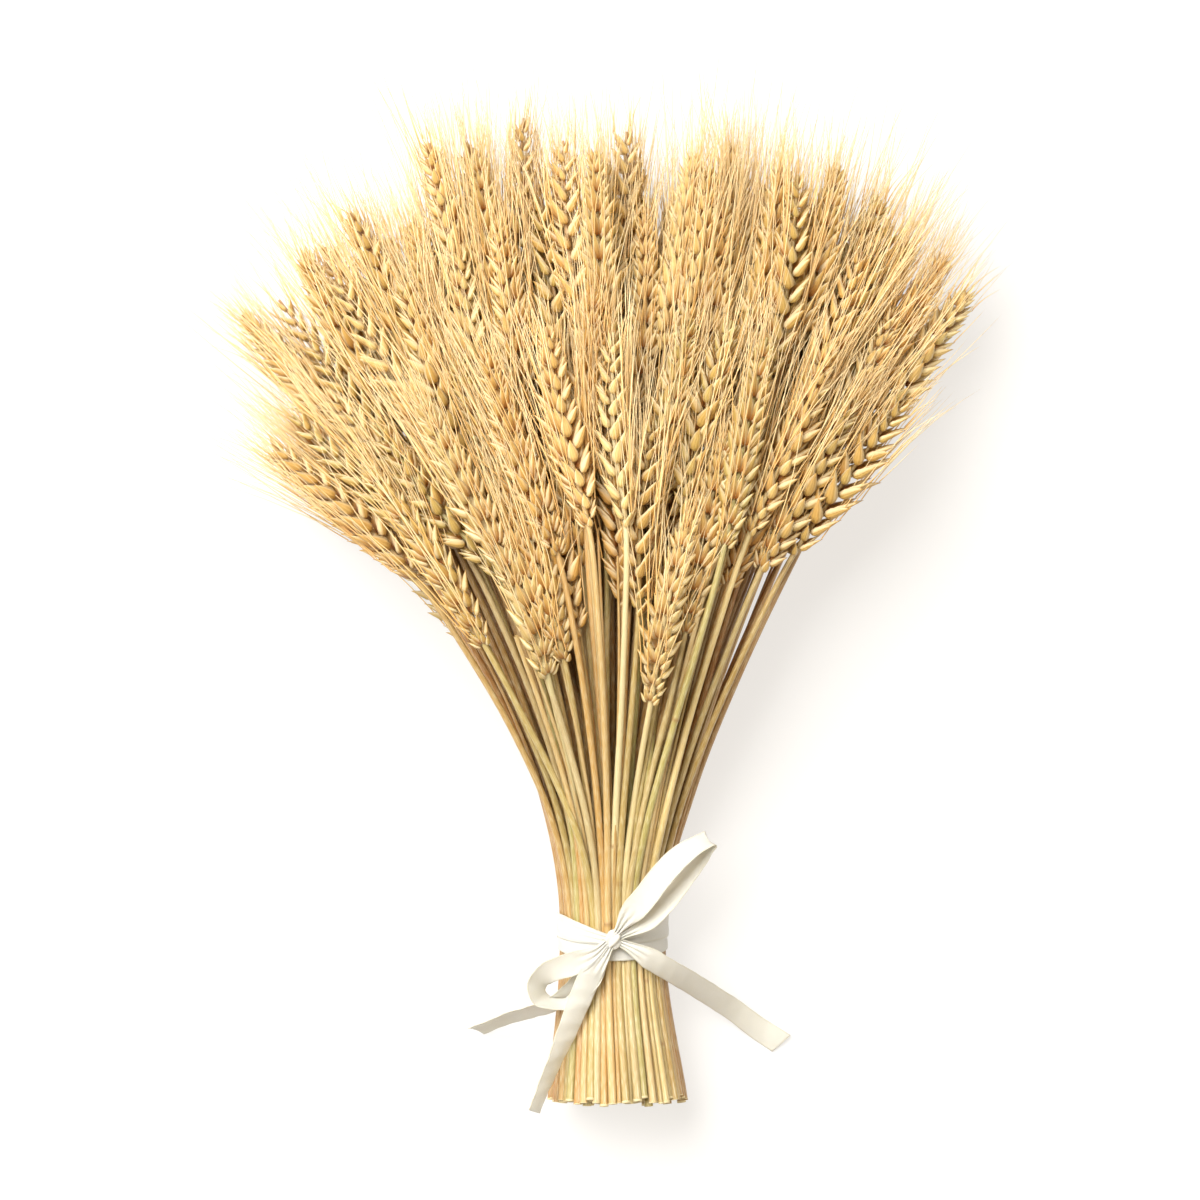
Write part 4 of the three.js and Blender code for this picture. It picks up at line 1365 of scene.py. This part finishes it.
def cloth_piece(name, sections, material):
    """A thin cloth mesh through the sections, with a map that runs across and along in metres."""
    rows, columns = sections.shape[:2]
    mesh = bpy.data.meshes.new(name)
    points = [tuple(point * MM) for point in sections.reshape(-1, 3)]
    faces = [
        (i * columns + j, (i + 1) * columns + j, (i + 1) * columns + j + 1, i * columns + j + 1)
        for i in range(rows - 1)
        for j in range(columns - 1)
    ]
    mesh.from_pydata(points, [], faces)
    centre = sections[:, columns // 2]
    walk = distances_along(centre)
    layer = mesh.uv_layers.new(name="cloth")
    for loop in mesh.loops:
        i, j = divmod(loop.vertex_index, columns)
        layer.data[loop.index].uv = (j / (columns - 1) * RIBBON_WIDTH * MM, walk[i] * MM)
    mesh.shade_smooth()
    mesh.materials.append(material)
    made = bpy.data.objects.new(name, mesh)
    scene.collection.objects.link(made)
    wall = made.modifiers.new("cloth", "SOLIDIFY")
    wall.thickness = RIBBON_THICK * MM
    wall.offset = 0.0
    return made, float(walk[-1])


# %% [markdown]
# Satin shines because its threads float along the strip. This one is soft and a little worn, so its
# gloss is mild: a middling roughness, a soft sheen, very fine threads in the bump, faint creases across,
# and a firm edge on both sides. It is so thin that light shines through it, and that keeps its shaded
# sides pale. Light that scatters inside the cloth by less than a millimetre does this.

# %% Ivory satin
THREADS_ACROSS, THREADS_ALONG = 26000.0, 14000.0
EDGE_FROM, EDGE_TO = RIBBON_WIDTH * MM * 0.43, RIBBON_WIDTH * MM * 0.48
SCATTER_DEPTH = 0.0008
satin, tree, shader = start_material("ivory_satin")
cloth_place = put(tree, "ShaderNodeUVMap", uv_map="cloth")
u, v = put(tree, "ShaderNodeSeparateXYZ", cloth_place).node.outputs[:2]
threads = calculate(tree, "SINE", calculate(tree, "MULTIPLY", u, THREADS_ACROSS))
crossing = calculate(tree, "SINE", calculate(tree, "MULTIPLY", v, THREADS_ALONG))
weave = calculate(tree, "MULTIPLY_ADD", crossing, 0.4, threads)
from_edge = calculate(tree, "ABSOLUTE", calculate(tree, "SUBTRACT", u, RIBBON_WIDTH * MM / 2))
edge = spread(tree, from_edge, EDGE_FROM, EDGE_TO)
creases = stretched_noise(tree, cloth_place, (0.35, 1.0, 1.0), 330.0, 2.0)
tone = blend(tree, spread(tree, creases, 0.35, 0.7), linear("dbd9d0"), linear("e3e1d9"))
tone = blend(tree, calculate(tree, "MULTIPLY", edge, 0.6), tone, linear("cdc8b5"))
tree.links.new(tone, shader.inputs["Base Color"])
gloss = spread(tree, creases, 0.35, 0.7, 0.4, 0.5)
tree.links.new(gloss, shader.inputs["Roughness"])
shader.inputs["Specular IOR Level"].default_value = 0.35
shader.inputs["Sheen Weight"].default_value = 0.1
shader.inputs["Sheen Roughness"].default_value = 0.4
shader.inputs["Subsurface Weight"].default_value = 0.8
shader.inputs["Subsurface Radius"].default_value = (1.0, 0.95, 0.85)
shader.inputs["Subsurface Scale"].default_value = SCATTER_DEPTH
threads_bump = put(
    tree, "ShaderNodeBump", named={"Strength": 0.12, "Distance": 0.0001, "Height": weave}
)
crease_height = calculate(tree, "MULTIPLY_ADD", edge, 0.6, creases)
bump = put(
    tree,
    "ShaderNodeBump",
    named={"Strength": 0.5, "Distance": 0.0006, "Height": crease_height, "Normal": threads_bump},
)
tree.links.new(bump, shader.inputs["Normal"])

# %% [markdown]
# Each strip starts inside the knot. A row of numbers is one spot that its middle passes, in millimetres,
# and after it the direction of its width there. Where that direction points up, the strip stands on its
# edge and looks narrow from above. The loops do so at their far ends, because cloth can't bend within
# its own plane.

# %% Tie the loops and tails
KNOT = (0.2, -1.1, 48.6)
STRIPS = {
    "front_tail": {
        "course": [
            (-0.8, -3.0, 48.9, 0.95, -0.3, 0.0), (-3.8, -7.8, 50.6, 0.95, -0.3, -0.1),
            (-7.7, -13.2, 51.4, 0.9, -0.32, -0.3), (-13.2, -25.2, 51.2, 0.86, -0.32, -0.4),
            (-17.0, -35.0, 50.4, 0.78, -0.3, -0.55), (-22.0, -47.4, 48.5, 0.6, -0.23, -0.77),
            (-27.2, -60.0, 45.5, 0.48, -0.18, -0.86), (-30.1, -67.3, 43.5, 0.46, -0.16, -0.88),
            (-31.6, -71.2, 42.3, 0.46, -0.16, -0.88),
        ],
        "pinched_ends": (1, 0),
        "crinkle": 0.25,
        "slant": 1.5,
    },
    "right_tail": {
        "course": [
            (2.2, -1.8, 48.2, 0.4, 0.9, 0.0), (8.0, -4.6, 49.8, 0.4, 0.85, 0.3),
            (18.8, -11.4, 46.4, 0.42, 0.75, 0.5), (26.4, -16.1, 39.5, 0.42, 0.7, 0.55),
            (33.4, -20.8, 30.0, 0.42, 0.68, 0.58), (42.0, -26.9, 17.8, 0.42, 0.68, 0.55),
            (50.0, -32.6, 8.6, 0.42, 0.72, 0.5), (58.7, -39.4, 3.6, 0.44, 0.78, 0.35),
            (69.5, -46.5, 1.6, 0.45, 0.84, 0.15),
        ],
        "pinched_ends": (1, 0),
        "crinkle": 0.15,
        "slant": 1.2,
    },
    "left_tail": {
        "course": [
            (-2.2, -3.6, 47.2, -0.3, 0.9, 0.0), (-7.0, -11.0, 46.4, -0.4, 0.8, 0.2),
            (-13.5, -19.5, 42.6, -0.3, 0.7, 0.5), (-20.2, -25.1, 38.0, -0.25, 0.5, 0.7),
            (-26.7, -29.1, 30.5, -0.2, 0.4, 0.85), (-33.6, -31.8, 22.0, -0.2, 0.4, 0.88),
            (-41.4, -34.5, 14.0, -0.15, 0.42, 0.9), (-49.1, -37.7, 8.6, -0.15, 0.42, 0.88),
            (-56.3, -40.8, 5.6, -0.15, 0.46, 0.86),
        ],
        "pinched_ends": (1, 0),
        "crinkle": 0.15,
        "slant": 1.0,
    },
    "left_loop": {
        "course": [
            (-2.4, -2.2, 49.4, -0.5, 0.85, 0.0), (-8.2, -7.2, 52.2, -0.4, 0.9, 0.1),
            (-17.2, -10.8, 53.4, -0.3, 0.92, 0.2), (-25.6, -13.8, 51.0, -0.5, 0.75, 0.4),
            (-30.4, -19.4, 46.6, -0.75, 0.25, 0.6), (-29.6, -24.8, 43.4, -0.5, -0.4, 0.75),
            (-25.2, -27.4, 42.4, -0.1, -0.4, 0.88), (-19.8, -27.7, 43.2, 0.1, -0.38, 0.9),
            (-14.6, -24.8, 45.2, 0.25, -0.45, 0.8), (-9.0, -17.2, 47.2, 0.5, -0.7, 0.4),
            (-1.8, -3.6, 48.2, 0.7, -0.6, 0.0),
        ],
        "pinched_ends": (1, 1),
        "crinkle": 0.15,
        "slant": 0.0,
    },
    "upper_loop": {
        "course": [
            (1.0, 1.0, 49.4, 0.75, -0.6, 0.0), (5.6, 8.0, 55.0, 0.78, -0.6, 0.0),
            (12.6, 16.2, 60.5, 0.76, -0.58, 0.2), (19.8, 25.8, 64.8, 0.74, -0.55, 0.3),
            (27.0, 33.2, 66.4, 0.68, -0.5, 0.45), (33.8, 37.8, 65.8, 0.5, -0.5, 0.65),
            (38.6, 39.8, 63.6, 0.4, -0.45, 0.8), (36.8, 35.6, 60.6, 0.42, -0.4, 0.8),
            (31.0, 27.0, 58.4, 0.5, -0.4, 0.75), (24.6, 18.2, 56.4, 0.5, -0.4, 0.72),
            (17.4, 10.3, 54.2, 0.5, -0.5, 0.6), (10.0, 4.5, 51.6, 0.5, -0.7, 0.4),
            (2.6, 0.2, 48.8, 0.4, -0.9, 0.0),
        ],
        "pinched_ends": (1, 1),
        "crinkle": 0.15,
        "slant": 0.0,
    },
}
FAN_OUT = 17.0
CUP = 0.7
STRIP_STEP = 0.9


def ribbon_strip(name, course, pinched_ends, crinkle, slant):
    """One loop or tail, and its length."""
    course = np.array(course)
    line = course[:, :3]
    walk = distances_along(line)
    total = walk[-1]
    spots = np.linspace(0, total, int(total / STRIP_STEP))
    centres = smooth_line(line, spots)
    wides = np.stack([np.interp(spots, walk, course[:, k]) for k in (3, 4, 5)], axis=1)
    from_start = [pinched_ends[0] * (1 - smooth_step(spot, 0, FAN_OUT)) for spot in spots]
    from_end = [pinched_ends[1] * (1 - smooth_step(total - spot, 0, FAN_OUT)) for spot in spots]
    pinches = np.maximum(from_start, from_end)
    sections = strip_sections(centres, wides, pinches, CUP, crinkle, slant)
    return cloth_piece(f"ribbon_{name}", sections, satin)


# %% [markdown]
# The two turns round the stems are one strip. It leaves the knot to the right, climbs to the side, comes
# round the back and passes under the knot, lower down. Then it goes round once more, crosses over itself
# at the back, and ends in the knot from the left. So it makes a shallow V above its flat middle.

# %% Wind the two turns round the stems
BAND_RADIUS = 22.25
BAND_LAYER = 0.42
# degrees round the stems, middle of the strip, half of its width, layer
BAND_COURSE = [
    (0, -1.6, 1.9, 1), (12, -0.7, 2.5, 1), (32, 1.2, 3.9, 1), (60, 3.4, 5.0, 1), (90, 4.4, 5.0, 1),
    (150, 5.0, 5.0, 1), (185, 5.1, 5.0, 0), (205, 5.0, 5.0, 0), (270, -0.8, 5.0, 0),
    (290, -1.8, 5.0, 0), (330, -4.5, 5.0, 0), (360, -5.0, 5.0, 0), (390, -4.5, 5.0, 0),
    (430, -1.8, 5.0, 0), (450, -0.8, 5.0, 0), (515, -5.2, 5.0, 0), (550, -5.3, 5.0, 1),
    (560, -5.2, 5.0, 1), (630, 4.2, 5.0, 1), (660, 3.1, 5.0, 1), (688, 1.0, 3.9, 1),
    (708, -0.7, 2.5, 1), (720, -1.6, 1.9, 1),
]
BAND_STEPS = 300
SMOOTHED_OVER = 13
BAND_PLEAT, FULLY_PINCHED = 0.45, 3.0
RIPPLE_DEPTH, RIPPLE_ACROSS, RIPPLE_ROUND = 0.1, 5, 3


def band_sections():
    """The strip that runs round the stems twice. The knot pinches both of its ends."""
    course = np.array(BAND_COURSE, dtype=float)
    lanes = np.linspace(-1, 1, LANES + 1)
    degrees = np.linspace(0, 720, BAND_STEPS)
    window = np.hanning(SMOOTHED_OVER) / np.hanning(SMOOTHED_OVER).sum()
    rough = [np.interp(degrees, course[:, 0], course[:, k]) for k in (1, 2, 3)]
    middle, half, layer = (
        np.convolve(np.pad(values, SMOOTHED_OVER // 2, "edge"), window, "valid") for values in rough
    )
    sections = []
    for i, angle in enumerate(np.radians(degrees)):
        pinch = (RIBBON_WIDTH / 2 - half[i]) / FULLY_PINCHED
        ripple = RIPPLE_DEPTH * np.sin(RIPPLE_ACROSS * lanes + RIPPLE_ROUND * angle)
        pleat = BAND_PLEAT * pinch * (1 + np.cos(PLEATS * math.pi * lanes))
        radius = BAND_RADIUS + BAND_LAYER * layer[i] + ripple + pleat
        sections.append(
            np.stack(
                [
                    radius * math.sin(angle),
                    middle[i] + lanes * half[i],
                    TIE_Z + radius * math.cos(angle),
                ],
                axis=1,
            )
        )
    return np.array(sections)


# %% Shape the knot
KNOT_SIZE = np.array([3.2, 4.1, 2.9])
KNOT_TURN = math.radians(-24)
KNOT_RINGS, KNOT_SIDES = 24, 44
KNOT_FOLDS, FOLD_DEPTH, FOLD_TWIST = 5, 0.15, 2.6
KNOT_CLOTH_WIDTH, KNOT_CLOTH_LENGTH, KNOT_CLOTH_START = 0.008, 0.02, 0.001
# the points of a pole lie on one spot, closer than this in metres, and become one
POLE_GAP = 1e-6


def knot_mesh(name, centre, material):
    """The knot: a small cushion of folded cloth, a little askew, with folds that run over it."""
    points = []
    for i in range(KNOT_RINGS + 1):
        tilt = math.pi * i / KNOT_RINGS
        for j in range(KNOT_SIDES):
            turn = math.tau * j / KNOT_SIDES
            folds = math.sin(tilt) * math.cos(KNOT_FOLDS * turn + FOLD_TWIST * math.cos(tilt))
            ball = (1 + FOLD_DEPTH * folds) * np.array(
                [math.sin(tilt) * math.cos(turn), math.cos(tilt), math.sin(tilt) * math.sin(turn)]
            )
            x, y, z = ball * KNOT_SIZE
            askew = (
                x * math.cos(KNOT_TURN) - y * math.sin(KNOT_TURN),
                x * math.sin(KNOT_TURN) + y * math.cos(KNOT_TURN),
                z,
            )
            points.append(tuple((np.array(centre) + askew) * MM))
    faces = []
    for i in range(KNOT_RINGS):
        for j in range(KNOT_SIDES):
            a, b = i * KNOT_SIDES + j, i * KNOT_SIDES + (j + 1) % KNOT_SIDES
            faces.append((a, b, b + KNOT_SIDES, a + KNOT_SIDES))
    mesh = bpy.data.meshes.new(name)
    mesh.from_pydata(points, [], faces)
    mesh.uv_layers.new(name="cloth")
    for loop in mesh.loops:
        i, j = divmod(loop.vertex_index, KNOT_SIDES)
        across_cloth = KNOT_CLOTH_START + KNOT_CLOTH_WIDTH * i / KNOT_RINGS
        mesh.uv_layers[0].data[loop.index].uv = (across_cloth, KNOT_CLOTH_LENGTH * j / KNOT_SIDES)
    ball_mesh = bmesh.new()
    ball_mesh.from_mesh(mesh)
    bmesh.ops.remove_doubles(ball_mesh, verts=ball_mesh.verts, dist=POLE_GAP)
    ball_mesh.to_mesh(mesh)
    ball_mesh.free()
    mesh.shade_smooth()
    mesh.materials.append(material)
    made = bpy.data.objects.new(name, mesh)
    scene.collection.objects.link(made)
    return made


# %% Ribbon pieces
ribbon = []
for name, shape in STRIPS.items():
    made, length = ribbon_strip(name, **shape)
    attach(made, "root")
    ribbon.append(made)
    print(made.name, "is", round(length), "mm long")
turns, length = cloth_piece("ribbon_turns", band_sections(), satin)
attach(turns, "root")
ribbon.append(turns)
print(turns.name, "are", round(length), "mm long")
knot = knot_mesh("ribbon_knot", KNOT, satin)
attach(knot, "root")
ribbon.append(knot)
for made in ribbon:
    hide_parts("ribbon")
